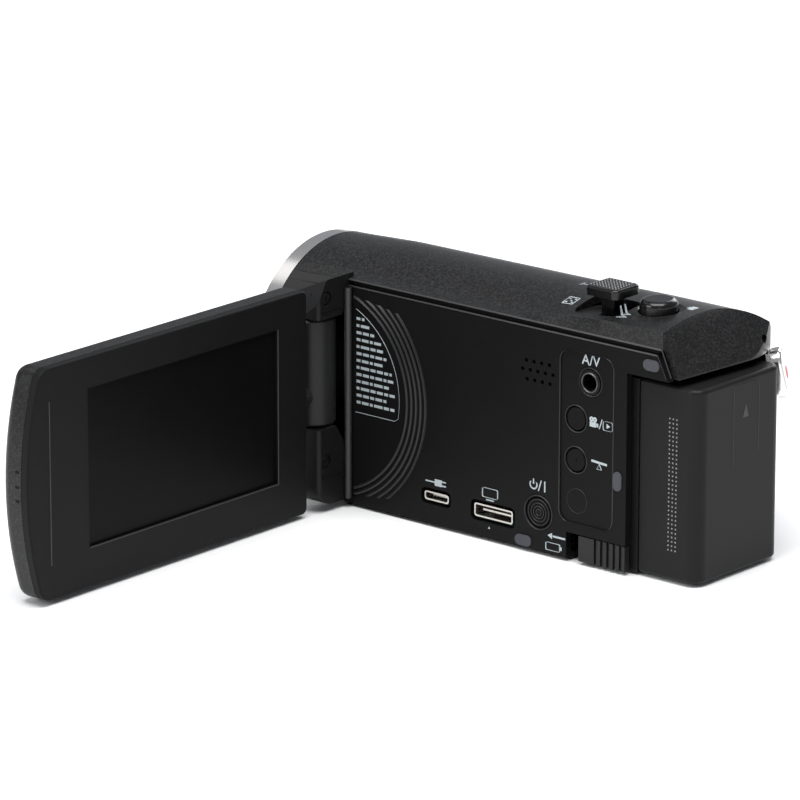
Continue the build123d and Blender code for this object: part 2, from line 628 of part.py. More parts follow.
with BuildPart() as hinge_barrel:
    rod_z(HINGE_X, HINGE_Y, BARREL_R, BARREL_Z)
    rod_x(SWIVEL_Y, SWIVEL_Z, BOSS_R, (HINGE_X, SCREEN_X[0] - 0.4))
    chamfer(hinge_barrel.edges().filter_by(GeomType.CIRCLE).group_by(Axis.Z)[0], length=0.5)
    chamfer(hinge_barrel.edges().filter_by(GeomType.CIRCLE).group_by(Axis.Z)[-1], length=0.5)
    bore_z = (BARREL_Z[0] - 1, BARREL_Z[1] + 1)
    rod_z(HINGE_X, HINGE_Y, HINGE_PIN_R + RUNNING, bore_z, mode=Mode.SUBTRACT)
    rod_x(SWIVEL_Y, SWIVEL_Z, SWIVEL_R, (SHAFT_X[0], 40), mode=Mode.SUBTRACT)
finish(hinge_barrel, "hinge_barrel")

with BuildPart() as swivel_shaft:
    rod_x(SWIVEL_Y, SWIVEL_Z, SWIVEL_R, SHAFT_X)
    rod_x(SWIVEL_Y, SWIVEL_Z, 1.95, (SHAFT_X[1] - 1.0, SHAFT_X[1]))
finish(swivel_shaft, "swivel_shaft")

# ---------------------------------------------------------------- screen

def screen_outline(y, inset, far_y):
    """The screen's outline as a slab from y to far_y, drawn in by inset."""
    mid_z = (SCREEN_Z[0] + SCREEN_Z[1]) / 2
    with BuildSketch(cross_plane(y)) as outline:
        with BuildLine():
            Polyline(
                (SCREEN_X[1] - inset, SCREEN_Z[1] - inset),
                (SCREEN_X[0] + inset, SCREEN_Z[1] - inset),
                (SCREEN_X[0] + inset, SCREEN_Z[0] + inset),
                (SCREEN_X[1] - inset, SCREEN_Z[0] + inset),
            )
            ThreePointArc(
                (SCREEN_X[1] - inset, SCREEN_Z[0] + inset),
                (SCREEN_X[1] + SCREEN_BULGE - inset, mid_z),
                (SCREEN_X[1] - inset, SCREEN_Z[1] - inset),
            )
        make_face()
        corners = outline.vertices().group_by(Axis.X)
        fillet(corners[-1], radius=3.4 - inset * 0.6)
        fillet(outline.vertices().group_by(Axis.X)[0], radius=1.4 - inset * 0.6)
    extrude(outline.sketch, amount=y - far_y)


with BuildPart() as screen_bezel:
    screen_outline(SCREEN_FACE, 0, BEZEL_BACK)
    fillet(screen_bezel.edges().group_by(Axis.Y)[-1], radius=0.4)
    block(DISPLAY_X, (BEZEL_BACK - 1, SCREEN_FACE + 1), DISPLAY_Z, mode=Mode.SUBTRACT)
    glass_x = (DISPLAY_X[0] - 0.6, DISPLAY_X[1] + 0.6)
    glass_z = (DISPLAY_Z[0] - 0.6, DISPLAY_Z[1] + 0.6)
    block(glass_x, (BEZEL_BACK - 1, SCREEN_FACE - GLASS_RECESS), glass_z, mode=Mode.SUBTRACT)
finish(screen_bezel, "screen_bezel")

with BuildPart() as display_glass:
    block(
        (glass_x[0] + 0.05, glass_x[1] - 0.05),
        (BEZEL_BACK + 0.05, SCREEN_FACE - GLASS_RECESS),
        (glass_z[0] + 0.05, glass_z[1] - 0.05),
    )
finish(display_glass, "display_glass")

with BuildPart() as screen_back:
    screen_outline(BEZEL_BACK - SEAM, 0, SCREEN_BACK)
    fillet(screen_back.edges().group_by(Axis.Y)[0], radius=2.6)
    screen_cavity = (BEZEL_BACK, SCREEN_BACK + SCREEN_WALL)
    block(
        (SCREEN_X[0] + SCREEN_WALL, SCREEN_X[1] - 2.0),
        (screen_cavity[1], screen_cavity[0]),
        (SCREEN_Z[0] + 2.4, SCREEN_Z[1] - 2.4),
        mode=Mode.SUBTRACT,
    )
    rod_x(SWIVEL_Y, SWIVEL_Z, SWIVEL_R + RUNNING, (SCREEN_X[0] - 1, BUSH_X[0] + 1), mode=Mode.SUBTRACT)
finish(screen_back, "screen_back")

with BuildPart() as swivel_bush:
    block(BUSH_X, (SCREEN_BACK + SCREEN_WALL, BEZEL_BACK), (SWIVEL_Z - 4, SWIVEL_Z + 4))
    rod_x(SWIVEL_Y, SWIVEL_Z, SWIVEL_R + RUNNING, (BUSH_X[0] - 1, BUSH_X[1] + 1), mode=Mode.SUBTRACT)
finish(swivel_bush, "swivel_bush")

with BuildPart() as display_module:
    block(
        (DISPLAY_X[0] - 0.4, DISPLAY_X[1] + 0.4),
        (SCREEN_BACK + SCREEN_WALL + 0.6, BEZEL_BACK - 0.15),
        (DISPLAY_Z[0] - 0.4, DISPLAY_Z[1] + 0.4),
    )
finish(display_module, "display_module")

# ---------------------------------------------------------------- front end
with BuildPart() as front_ring:
    with BuildSketch(Plane.XY.offset(AXIS_Z)) as profile:
        with BuildLine():
            Polyline(
                (RING_BORE, RING_Y[0] + 0.7),
                (RING_BORE + 0.7, RING_Y[0]),
                (RING_R - 1.0, RING_Y[0]),
                (RING_R, RING_Y[0] + 1.0),
                (FRONT_R, RING_Y[1]),
                (RING_BORE, RING_Y[1]),
                close=True,
            )
        make_face()
        rim_corners = profile.vertices().group_by(Axis.Y)[0]
        fillet(rim_corners, radius=0.4)
    revolve(profile.sketch, axis=Axis((0, 0, AXIS_Z), (0, 1, 0)))
finish(front_ring, "front_ring")

with BuildPart() as front_fascia:
    rod_y(0, AXIS_Z, RING_BORE - 0.05, (RING_Y[0] + 1.2, FASCIA_Y))
    with BuildSketch(cross_plane(RING_Y[0])) as mouth:
        with Locations((0, AXIS_Z)):
            Circle(RING_BORE - 1.4)
    with BuildSketch(cross_plane(FASCIA_Y + 1.3)) as throat:
        with Locations((0, AXIS_Z)):
            Circle(13.2)
    loft([mouth.sketch, throat.sketch], mode=Mode.SUBTRACT)
    with BuildSketch(cross_plane(RING_Y[0])) as window:
        with Locations((0, AXIS_Z)):
            RectangleRounded(APERTURE[0], APERTURE[1], 3.0)
    extrude(window.sketch, amount=-20, mode=Mode.SUBTRACT)
    # two slots for the microphones, below the lens
    for x in (-MIC_X, MIC_X):
        slot_z = AXIS_Z - MIC_DROP
        mic_y = (RING_Y[0], FASCIA_Y + 1)
        block((x - 3.0, x + 3.0), mic_y, (slot_z - 0.5, slot_z + 0.5), mode=Mode.SUBTRACT)
finish(front_fascia, "front_fascia")

with BuildPart() as microphones:
    for x in (-MIC_X, MIC_X):
        rod_y(x, AXIS_Z - MIC_DROP, MIC_R, (FASCIA_Y + 0.1, FASCIA_Y + 2.6))
finish(microphones, "microphones")

for name, side in (("shutter_upper", 1), ("shutter_lower", -1)):
    with BuildPart() as shutter:
        inner_edge = AXIS_Z + side * (SHUTTER_TRAVEL + 0.1)
        outer_edge = inner_edge + side * SHUTTER_HALF
        block(
            (-APERTURE[0] / 2 - 1.2, APERTURE[0] / 2 + 1.2),
            SHUTTER_Y,
            (min(inner_edge, outer_edge), max(inner_edge, outer_edge)),
        )
        chamfer(shutter.edges().filter_by(Axis.Y), length=0.6)
    finish(shutter, name)

# ---------------------------------------------------------------- lens
with BuildPart() as lens_barrel:
    rod_y(0, AXIS_Z, BARREL_BORE + BARREL_WALL, BARREL_Y)
    rod_y(0, AXIS_Z, BARREL_BORE, (LENS_SEAT_Y[1], BARREL_Y[1] - BARREL_END), mode=Mode.SUBTRACT)
    rod_y(0, AXIS_Z, LENS_R + 0.03, (BARREL_Y[0] - 1, LENS_SEAT_Y[1] - 0.8), mode=Mode.SUBTRACT)
    rod_y(0, AXIS_Z, LENS_R - 1.4, (BARREL_Y[0] - 1, LENS_SEAT_Y[1] + 1), mode=Mode.SUBTRACT)
    rod_y(0, AXIS_Z, 4.0, (BARREL_Y[1] - 3, BARREL_Y[1] + 1), mode=Mode.SUBTRACT)
finish(lens_barrel, "lens_barrel")

with BuildPart() as front_lens:
    rod_y(0, AXIS_Z, LENS_R, (LENS_SEAT_Y[0] - 2.0, LENS_SEAT_Y[1] - 0.8))
    with Locations((0, LENS_SEAT_Y[0] - 1.6 + LENS_DOME_R, AXIS_Z)):
        Sphere(LENS_DOME_R, mode=Mode.INTERSECT)
finish(front_lens, "front_lens")

with BuildPart() as guide_rods:
    for x in (-ROD_X, ROD_X):
        rod_y(x, AXIS_Z, ROD_R, ROD_Y)
finish(guide_rods, "guide_rods")

for holder_name, glass_name, span in (
    ("zoom_lens_holder", "zoom_lens", ZOOM_GROUP_Y),
    ("focus_lens_holder", "focus_lens", FOCUS_GROUP_Y),
):
    with BuildPart() as holder:
        rod_y(0, AXIS_Z, GROUP_R, span)
        block((-ROD_X, ROD_X), span, (AXIS_Z - 1.6, AXIS_Z + 1.6))
        for x in (-ROD_X, ROD_X):
            rod_y(x, AXIS_Z, 1.6, span)
        for x in (-ROD_X, ROD_X):
            rod_y(x, AXIS_Z, ROD_R + RUNNING, (span[0] - 1, span[1] + 1), mode=Mode.SUBTRACT)
        rod_y(0, AXIS_Z, GROUP_GLASS_R, (span[0] + 0.6, span[1] + 1), mode=Mode.SUBTRACT)
        rod_y(0, AXIS_Z, GROUP_GLASS_R - 1.0, (span[0] - 1, span[1] + 1), mode=Mode.SUBTRACT)
    finish(holder, holder_name)
    with BuildPart() as glass:
        rod_y(0, AXIS_Z, GROUP_GLASS_R - 0.02, (span[0] + 0.6, span[1] - 0.3))
    finish(glass, glass_name)

with BuildPart() as image_sensor:
    board_z = (AXIS_Z - SENSOR_BOARD, AXIS_Z + SENSOR_BOARD)
    block((-SENSOR_BOARD, SENSOR_BOARD), (BARREL_Y[1] + 0.1, BARREL_Y[1] + 1.1), board_z)
    block((-3.0, 3.0), (BARREL_Y[1] - 1.0, BARREL_Y[1] + 0.6), (AXIS_Z - 2.4, AXIS_Z + 2.4))
finish(image_sensor, "image_sensor")

# ---------------------------------------------------------------- inside the body
with BuildPart() as tripod_bush:
    rod_z(0, 0, 5.0, (0, 1.9))
    rod_z(0, 0, 4.4, (0, SOCKET_DEPTH + 1.2))
    rod_z(0, 0, 6.6, (1.9, 3.1))
    rod_z(0, 0, SOCKET_R, (-1, SOCKET_DEPTH), mode=Mode.SUBTRACT)
finish(tripod_bush, "tripod_bush")

with BuildPart() as chassis_frame:
    block((CHASSIS_X, CHASSIS_X + CHASSIS_T), (-44.0, 33.0), (11.0, 46.0))
    block((CHASSIS_X, 8.0), (-12.0, 9.4), (3.2, 4.2))
    block((CHASSIS_X, CHASSIS_X + CHASSIS_T), (-12.0, 9.4), (3.2, 12.0))
    rod_z(0, 0, 4.5, (2, 6), mode=Mode.SUBTRACT)
    # ears that hold the lens barrel
    for y in (-40.0, -12.0):
        block((CHASSIS_X, -9.0), (y, y + 2.0), (13.6, AXIS_Z - 2))
    rod_y(0, AXIS_Z, BARREL_BORE + BARREL_WALL + 0.05, (-45, 0), mode=Mode.SUBTRACT)
    for y in (-28.0, 0.0, 22.0):
        rod_x(y, 32.0, 5.5, (CHASSIS_X - 1, CHASSIS_X + 2), mode=Mode.SUBTRACT)
finish(chassis_frame, "chassis_frame")

with BuildPart() as main_board:
    block(BOARD_X, (-3.0, 33.0), (28.4, 50.0))
    for y, z, half_y, half_z in ((6.0, 40.0, 6.0, 6.0), (21.0, 41.0, 4.5, 5.0), (24.0, 32.0, 3.0, 2.0)):
        block((BOARD_X[1], BOARD_X[1] + 1.0), (y - half_y, y + half_y), (z - half_z, z + half_z))
finish(main_board, "main_board")

with BuildPart() as card_reader:
    block(READER_X, READER_Y, (2.4, 27.6))
    slot_x_span = (READER_X[0] + 0.4, READER_X[1] - 0.4)
    block(slot_x_span, (READER_Y[0] + 1.0, READER_Y[1] - 1.0), (1, 27.0), mode=Mode.SUBTRACT)
finish(card_reader, "card_reader")

with BuildPart() as card_door:
    block(DOOR_X, (HINGE_LINE[0], DOOR_Y[1]), (0, DOOR_T))
    rod_x(*HINGE_LINE, DOOR_T / 2, DOOR_X)
    block((-2.0, 6.0), (DOOR_Y[1] - 1.2, DOOR_Y[1] - 0.5), (-1, 0.5), mode=Mode.SUBTRACT)
    rod_x(*HINGE_LINE, DOOR_PIN_R + RUNNING, (DOOR_X[0] - 1, DOOR_X[1] + 1), mode=Mode.SUBTRACT)
finish(card_door, "card_door")

with BuildPart() as card_door_pin:
    rod_x(*HINGE_LINE, DOOR_PIN_R, (DOOR_X[0] - 1.3, DOOR_X[1] + 1.3))
finish(card_door_pin, "card_door_pin")

with BuildPart() as case_screws:
    for x, y in FOOT_SCREWS:
        rod_z(x, y, 1.7, (0.2, 0.9))
        rod_z(x, y, 0.9, (0.5, 2.9))
        for turn in (0, 90):
            with Locations(Location((x, y, 0.2), (0, 0, turn))):
                Box(2.0, 0.4, 0.8, mode=Mode.SUBTRACT)
finish(case_screws, "case_screws")

with BuildPart() as battery_bay:
    block((BAY_X[0] - BAY_T, BAY_X[1]), (BAY_Y - BAY_T, BAY_Y), (0.0, BAY_TOP + BAY_T))
    block((BAY_X[0] - BAY_T, BAY_X[1]), (BAY_Y - BAY_T, 60.0), (BAY_TOP, BAY_TOP + BAY_T))
    block((BAY_X[0] - BAY_T, BAY_X[0]), (BAY_Y - BAY_T, 60.0), (0.0, BAY_TOP + BAY_T))
    # slot for the latch, and openings for the contacts
    block((-1.6, 8.6), (BAY_Y - 3, BAY_Y + 1), (2.4, 4.8), mode=Mode.SUBTRACT)
    rec_stem(7.0, 20.0, 1.0 + GAP, mode=Mode.SUBTRACT)
    add(INNER, mode=Mode.INTERSECT)
finish(battery_bay, "battery_bay")

with BuildPart() as battery_contacts:
    block((-8.6, 8.6), (BAY_Y - BAY_T - 3.0, BAY_Y - BAY_T - 0.1), (9.0, 13.0))
finish(battery_contacts, "battery_contacts")

with BuildPart() as av_jack:
    rod_x(AV_JACK[0], AV_JACK[1], AV_R, (8.0, PANEL_X + 0.15))
    block((4.0, 13.6), (AV_JACK[0] - 3.2, AV_JACK[0] + 3.2), (AV_JACK[1] - 3.2, AV_JACK[1] + 3.2))
    rod_x(AV_JACK[0], AV_JACK[1], AV_BORE, (5.0, PANEL_X + 1), mode=Mode.SUBTRACT)
finish(av_jack, "av_jack")

with BuildPart() as speaker:
    rod_x(18.3, 40.5, 6.0, (12.0, PANEL_IN - 0.1))
finish(speaker, "speaker")

with BuildPart() as port_board:
    block((8.4, PANEL_IN - 0.1), (-16.0, 12.0), (PORT_BOARD_TOP - 1.0, PORT_BOARD_TOP))
finish(port_board, "port_board")

for name, y, z, depth in (("usb_socket", USB_Y, USB_Z, 5.4), ("hdmi_socket", HDMI_Y, HDMI_Z, 7.4)):
    with BuildPart() as socket:
        back = PANEL_X - 0.3 - depth
        with BuildSketch(side_plane(back)) as shell:
            with Locations(((y[0] + y[1]) / 2, (z[0] + z[1]) / 2)):
                RectangleRounded(y[1] - y[0], z[1] - z[0], 0.6)
        extrude(shell.sketch, amount=depth)
        with BuildSketch(side_plane(back + 0.6)) as hollow:
            with Locations(((y[0] + y[1]) / 2, (z[0] + z[1]) / 2)):
                RectangleRounded(y[1] - y[0] - 2 * SHELL_T, z[1] - z[0] - 2 * SHELL_T, 0.35)
        extrude(hollow.sketch, amount=depth, mode=Mode.SUBTRACT)
        # contact tongue
        middle = (z[0] + z[1]) / 2
        block((back + 0.3, PANEL_X - 1.6), (y[0] + 1.4, y[1] - 1.4), (middle - 0.3, middle + 0.1))
        # feet on the port board
        for foot in (y[0] + 0.8, y[1] - 1.8):
            block((back + 0.5, back + 2.5), (foot, foot + 1.0), (PORT_BOARD_TOP, z[0] + 0.2))
    finish(socket, name)

with BuildPart() as dc_jack:
    rod_x(DC_Y, DC_Z, DC_R, (-25.6, -17.0))
    rod_x(DC_Y, DC_Z, 2.0, (-30, -18.0), mode=Mode.SUBTRACT)
    rod_x(DC_Y, DC_Z, 0.5, (-24.0, -17.5))
finish(dc_jack, "dc_jack")

with BuildPart() as status_lamp:
    rod_y(LAMP[0], LAMP[1], 0.85, (50.0, 53.2))
finish(status_lamp, "status_lamp")

# ---------------------------------------------------------------- controls
with BuildPart() as power_button:
    rod_x(*POWER, POWER_R, (PANEL_IN - 1.2, PANEL_X - 0.1))
    rod_x(*POWER, POWER_R + 0.9, (PANEL_IN - 1.2, PANEL_IN - 0.2))
    for radius in (1.0, 1.7, 2.4):
        with BuildSketch(side_plane(PANEL_X - 0.1)) as turned:
            with Locations(POWER):
                Circle(radius + 0.12)
                Circle(radius - 0.12, mode=Mode.SUBTRACT)
        extrude(turned.sketch, amount=-0.15, mode=Mode.SUBTRACT)
finish(power_button, "power_button")

for name, place in (("mode_button", MODE_BUTTON), ("level_button", LEVEL_BUTTON)):
    with BuildPart() as button:
        rod_x(*place, SMALL_R, (PANEL_IN - 1.0, PANEL_X - 0.1))
        rod_x(*place, SMALL_R + 0.7, (PANEL_IN - 1.0, PANEL_IN - 0.2))
        fillet(button.edges().group_by(Axis.X)[-1], radius=0.35)
        if name == "level_button":
            rod_x(*place, 0.32, (PANEL_X - 0.5, PANEL_X + 0.02))
    finish(button, name)

with BuildPart() as side_switches:
    for (y, z), depth in ((POWER, 1.2), (MODE_BUTTON, 1.0), (LEVEL_BUTTON, 1.0)):
        head = PANEL_IN - depth
        block((head - 2.2, head - 0.6), (y - SWITCH, y + SWITCH), (z - SWITCH, z + SWITCH))
finish(side_switches, "side_switches")

with BuildPart() as zoom_tray:
    zoom_well(0.05, (WELL_FLOOR - 1.0, WELL_FLOOR))
    slot_half_x = ZOOM_STEM[0] / 2 + ZOOM_TRAVEL + GAP
    slot_half_y = ZOOM_STEM[1] / 2 + GAP
    block(
        (ZOOM[0] - slot_half_x, ZOOM[0] + slot_half_x),
        (ZOOM[1] - slot_half_y, ZOOM[1] + slot_half_y),
        (40, 60),
        mode=Mode.SUBTRACT,
    )
finish(zoom_tray, "zoom_tray")

with BuildPart() as zoom_lever:
    block(
        (ZOOM[0] - ZOOM_PLATE[0] / 2, ZOOM[0] + ZOOM_PLATE[0] / 2),
        (ZOOM[1] - ZOOM_PLATE[1] / 2, ZOOM[1] + ZOOM_PLATE[1] / 2),
        PLATE_Z,
    )
    fillet(zoom_lever.edges().filter_by(Axis.Z), radius=1.4)
    fillet(zoom_lever.edges().group_by(Axis.Z)[-1], radius=0.5)
    stem_x = (ZOOM[0] - ZOOM_STEM[0] / 2, ZOOM[0] + ZOOM_STEM[0] / 2)
    block(stem_x, (ZOOM[1] - ZOOM_STEM[1] / 2, ZOOM[1] + ZOOM_STEM[1] / 2), (49.0, PLATE_Z[0] + 0.4))
    block(stem_x, (ZOOM[1] - 4.0, ZOOM[1] + 4.0), (49.0, 50.4))
finish(zoom_lever, "zoom_lever")

with BuildPart() as photo_button:
    with BuildSketch(Plane.XY.offset(53.0)) as cap:
        with Locations(PHOTO):
            Ellipse(*PHOTO_R)
    extrude(cap.sketch, amount=5.2)
    fillet(photo_button.edges().group_by(Axis.Z)[-1], radius=1.3)
    with BuildSketch(Plane.XY.offset(52.0)) as flange:
        with Locations(PHOTO):
            Ellipse(PHOTO_R[0] + 0.8, PHOTO_R[1] + 0.8)
    extrude(flange.sketch, amount=1.2)
finish(photo_button, "photo_button")

with BuildPart() as rec_button:
    rec_oval(REC_CAP, REC_CAP, 0)
    outwards = Axis((0, 0, 0), tuple(rec_plane(0).z_dir))
    fillet(rec_button.faces().sort_by(outwards)[-1].edges(), radius=0.7)
    rec_stem(6.0, 5.0, 1.0)
    with BuildSketch(rec_plane(0.5)) as pocket:
        Circle(1.45)
    extrude(pocket.sketch, amount=2.0, mode=Mode.SUBTRACT)
finish(rec_button, "rec_button")

with BuildPart() as rec_mark:
    with BuildSketch(rec_plane(0.5)) as dot:
        Circle(1.4)
    extrude(dot.sketch, amount=0.5)
finish(rec_mark, "rec_mark")

with BuildPart() as battery_lever:
    block((PANEL_IN + 0.1, PANEL_X - 0.1), LEVER_Y, LEVER_Z)
    block((12.6, PANEL_X - 0.1), (LEVER_Y[0], 35.6), LEVER_Z)
    for n in range(5):
        y = LEVER_Y[0] + 4.2 + n * 1.7
        block((PANEL_X - 0.6, PANEL_X + 1), (y, y + 0.7), (-1, 10), mode=Mode.SUBTRACT)
finish(battery_lever, "battery_lever")

with BuildPart() as battery_latch:
    block((0.4, 12.5), (LEVER_Y[0] + 0.6, LEVER_Y[0] + 4.0), (3.0, 4.2))
    block((0.4, 6.4), (LEVER_Y[0] + 2.0, BATTERY_Y[0] - 0.2), (3.0, 4.2))
finish(battery_latch, "battery_latch")

# ---------------------------------------------------------------- battery
with BuildPart() as battery_front_case:
    block(BATTERY_X, (BATTERY_Y[0], BATTERY_SEAM), BATTERY_Z)
    block(
        (BATTERY_X[0] + BATTERY_WALL, BATTERY_X[1] - BATTERY_WALL),
        (BATTERY_Y[0] + BATTERY_WALL, BATTERY_SEAM + 1),
        (BATTERY_Z[0] + BATTERY_WALL, BATTERY_Z[1] - BATTERY_WALL),
        mode=Mode.SUBTRACT,
    )
    for x in CONTACTS_X:
        block((x - 0.7, x + 0.7), (BATTERY_Y[0] - 1, BATTERY_Y[0] + 0.5), (8.6, 13.4), mode=Mode.SUBTRACT)
finish(battery_front_case, "battery_front_case")

with BuildPart() as battery_rear_case:
    block(BATTERY_X, (BATTERY_SEAM + SEAM, BATTERY_Y[1]), BATTERY_Z)
    rear_edges = battery_rear_case.edges().group_by(Axis.Y)[-1]
    fillet(rear_edges.filter_by(Axis.Z), radius=BATTERY_CORNER)
    fillet(battery_rear_case.faces().sort_by(Axis.Y)[-1].edges(), radius=1.0)
    chamfer(battery_rear_case.faces().sort_by(Axis.Y)[0].edges(), length=0.3)
    block(
        (BATTERY_X[0] + BATTERY_WALL, BATTERY_X[1] - BATTERY_WALL),
        (BATTERY_SEAM, BATTERY_Y[1] - 2.2),
        (BATTERY_Z[0] + BATTERY_WALL, BATTERY_Z[1] - BATTERY_WALL),
        mode=Mode.SUBTRACT,
    )
finish(battery_rear_case, "battery_rear_case")

with BuildPart() as battery_cell:
    block(
        (BATTERY_X[0] + BATTERY_WALL + 0.2, BATTERY_X[1] - BATTERY_WALL - 0.2),
        (BATTERY_Y[0] + BATTERY_WALL + 0.2, BATTERY_Y[1] - 2.4),
        (BATTERY_Z[0] + BATTERY_WALL + 0.2, BATTERY_Z[1] - BATTERY_WALL - 0.2),
    )
finish(battery_cell, "battery_cell")

# ---------------------------------------------------------------- grip belt

def bowed_strip(inner, outer, half_length, z):
    """An upright strip bowed away from the right side, between two radii about the belt's centre."""
    with BuildSketch(Plane.XY.offset(z[0])) as strip:
        with Locations(BELT_CENTRE):
            Circle(outer)
            Circle(inner, mode=Mode.SUBTRACT)
        with Locations((BELT_CENTRE[0] - outer, BELT_MID)):
            Rectangle(2 * (outer - 20), 2 * half_length, mode=Mode.INTERSECT)
    extrude(strip.sketch, amount=z[1] - z[0])


with BuildPart() as grip_belt:
    bowed_strip(BELT_RADIUS - BELT_T / 2, BELT_RADIUS + BELT_T / 2, BELT_HALF - 0.5, BELT_Z)
finish(grip_belt, "grip_belt")

with BuildPart() as grip_pad:
    bowed_strip(PAD_OUTER - PAD_T, PAD_OUTER, PAD_HALF, PAD_Z)
finish(grip_pad, "grip_pad")

with BuildPart() as belt_bars:
    for y, away in ((BELT_Y[0], -1), (BELT_Y[1], 1)):
        rod_z(BELT_X, y + away * BELT_BAR_OUT, BELT_BAR_R, (LOOPS_Z[0][1], LOOPS_Z[1][0]))
finish(belt_bars, "belt_bars")
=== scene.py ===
"""A family camcorder standing on a table with its screen swung out and turned to its user.

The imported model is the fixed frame. Each section below takes one piece of the camcorder, or one
group of like pieces, in the order in which they are put together.
"""

import json
import math

import bpy
from mathutils import Matrix, Vector


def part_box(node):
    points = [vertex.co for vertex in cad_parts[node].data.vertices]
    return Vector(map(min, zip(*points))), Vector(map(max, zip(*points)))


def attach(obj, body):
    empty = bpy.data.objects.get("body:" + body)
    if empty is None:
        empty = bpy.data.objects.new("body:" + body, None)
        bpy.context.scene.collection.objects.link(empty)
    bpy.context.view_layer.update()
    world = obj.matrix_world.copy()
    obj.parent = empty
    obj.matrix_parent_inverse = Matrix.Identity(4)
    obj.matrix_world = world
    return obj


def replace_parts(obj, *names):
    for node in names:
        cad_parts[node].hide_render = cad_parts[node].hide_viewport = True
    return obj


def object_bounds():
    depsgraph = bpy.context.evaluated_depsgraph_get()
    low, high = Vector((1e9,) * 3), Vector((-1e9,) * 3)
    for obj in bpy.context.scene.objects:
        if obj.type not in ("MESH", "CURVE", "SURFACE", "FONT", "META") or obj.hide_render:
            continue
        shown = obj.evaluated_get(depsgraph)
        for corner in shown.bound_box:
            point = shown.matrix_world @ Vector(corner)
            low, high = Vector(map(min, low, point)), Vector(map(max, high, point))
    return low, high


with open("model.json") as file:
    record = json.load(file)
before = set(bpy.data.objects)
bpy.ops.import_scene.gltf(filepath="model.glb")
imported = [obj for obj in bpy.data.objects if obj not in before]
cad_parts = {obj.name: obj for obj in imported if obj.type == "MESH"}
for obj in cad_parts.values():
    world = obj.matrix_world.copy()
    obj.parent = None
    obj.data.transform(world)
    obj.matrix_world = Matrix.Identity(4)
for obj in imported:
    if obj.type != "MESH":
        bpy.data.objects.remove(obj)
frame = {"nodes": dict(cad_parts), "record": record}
cad_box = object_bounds()

# The camera: a long lens on a tripod behind the camcorder's left shoulder, looking down at its
# open screen side. Its film is shifted up a little, as a view camera's is.
view_azimuth = 130.493
view_elevation = 16.135
view_roll = 0.085
camera_data = bpy.data.cameras.new("portrait_camera")
camera = bpy.data.objects.new("portrait_camera", camera_data)
bpy.context.scene.collection.objects.link(camera)
camera_data.sensor_width = 36
camera_data.lens = 272.168
camera_data.shift_x = -0.0037
camera_data.shift_y = -0.0307
camera_data.clip_start = 0.05
camera.rotation_mode = "XYZ"
camera.matrix_world = (
    Matrix.Translation((0.970485, 0.794770, 0.395301))
    @ Matrix.Rotation(math.radians(view_azimuth), 4, "Z")
    @ Matrix.Rotation(math.radians(90 - view_elevation), 4, "X")
    @ Matrix.Rotation(math.radians(view_roll), 4, "Z")
)
bpy.context.scene.camera = camera

# The studio: a flat sheet of white paper under soft boxes, with a dim pale room around it.
# The paper is one wide piece that reaches far past the camcorder on every side.
bpy.context.scene.view_settings.view_transform = "Standard"


class Wire:
    """A shader socket on which sums and products can be written as plain expressions."""

    def __init__(self, tree, socket=None):
        self.tree = tree
        self.socket = socket

    def node(self, kind, settings=(), inputs=(), output=0):
        """A new node of this kind: its settings first, then a value or a Wire for each socket."""
        made = self.tree.nodes.new("ShaderNode" + kind)
        for name, value in dict(settings).items():
            if name == "stops":
                elements = made.color_ramp.elements
                while len(elements) < len(value):
                    elements.new(1)
                for element, (place, shade) in zip(elements, value):
                    element.position = place
                    element.color = (shade, shade, shade, 1)
            else:
                setattr(made, name, value)
        for name, value in dict(inputs).items():
            if isinstance(value, Wire):
                self.tree.links.new(value.socket, made.inputs[name])
            else:
                made.inputs[name].default_value = value
        return Wire(self.tree, made.outputs[output])

    def maths(self, operation, *values):
        return self.node("Math", {"operation": operation}, dict(enumerate(values)))

    def __add__(self, other):
        return self.maths("ADD", self, other)

    def __radd__(self, other):
        return self.maths("ADD", other, self)

    def __sub__(self, other):
        return self.maths("SUBTRACT", self, other)

    def __rsub__(self, other):
        return self.maths("SUBTRACT", other, self)

    def __mul__(self, other):
        return self.maths("MULTIPLY", self, other)

    def __rmul__(self, other):
        return self.maths("MULTIPLY", other, self)

    def __pow__(self, other):
        return self.maths("POWER", self, other)

    def mix(self, low, high):
        """The colour low where this is 0 and high where it is 1."""
        return self.node("Mix", {"data_type": "RGBA"}, {0: self, 6: low, 7: high}, 2)

    def clamped(self, low, high):
        """This, run from 0 at low to 1 at high and held there."""
        return self.node("MapRange", {"clamp": True}, {0: self, 1: low, 2: high})


def new_material(name):
    """A blank material: a Wire to build on, its surface shader and its Object coordinates."""
    material = bpy.data.materials.new(name)
    material.use_nodes = True
    tree = material.node_tree
    shader = tree.nodes["Principled BSDF"]
    start = Wire(tree)
    place = start.node("TexCoord", output=3)
    return material, start, shader, place


def wire_up(tree, shader, values):
    """Sets the shader's sockets, each to a value or to the Wire that feeds it."""
    for name, value in values.items():
        if isinstance(value, Wire):
            tree.links.new(value.socket, shader.inputs[name])
        else:
            shader.inputs[name].default_value = value


def studio_paper():
    material, start, shader, place = new_material("studio_paper")
    mottle = start.node("TexNoise", inputs={"Vector": place, "Scale": 40.0, "Detail": 4.0})
    tint = mottle.mix((0.86, 0.86, 0.86, 1), (0.9, 0.9, 0.9, 1))
    wire_up(material.node_tree, shader, {"Base Color": tint, "Roughness": 0.9, "Specular IOR Level": 0.1})
    return material


bpy.ops.object.select_all(action="DESELECT")
bpy.ops.mesh.primitive_plane_add(size=6, location=(0, 0, cad_box[0][2]))
paper = bpy.context.object
paper.name = "studio_paper"
paper.data.materials.append(studio_paper())


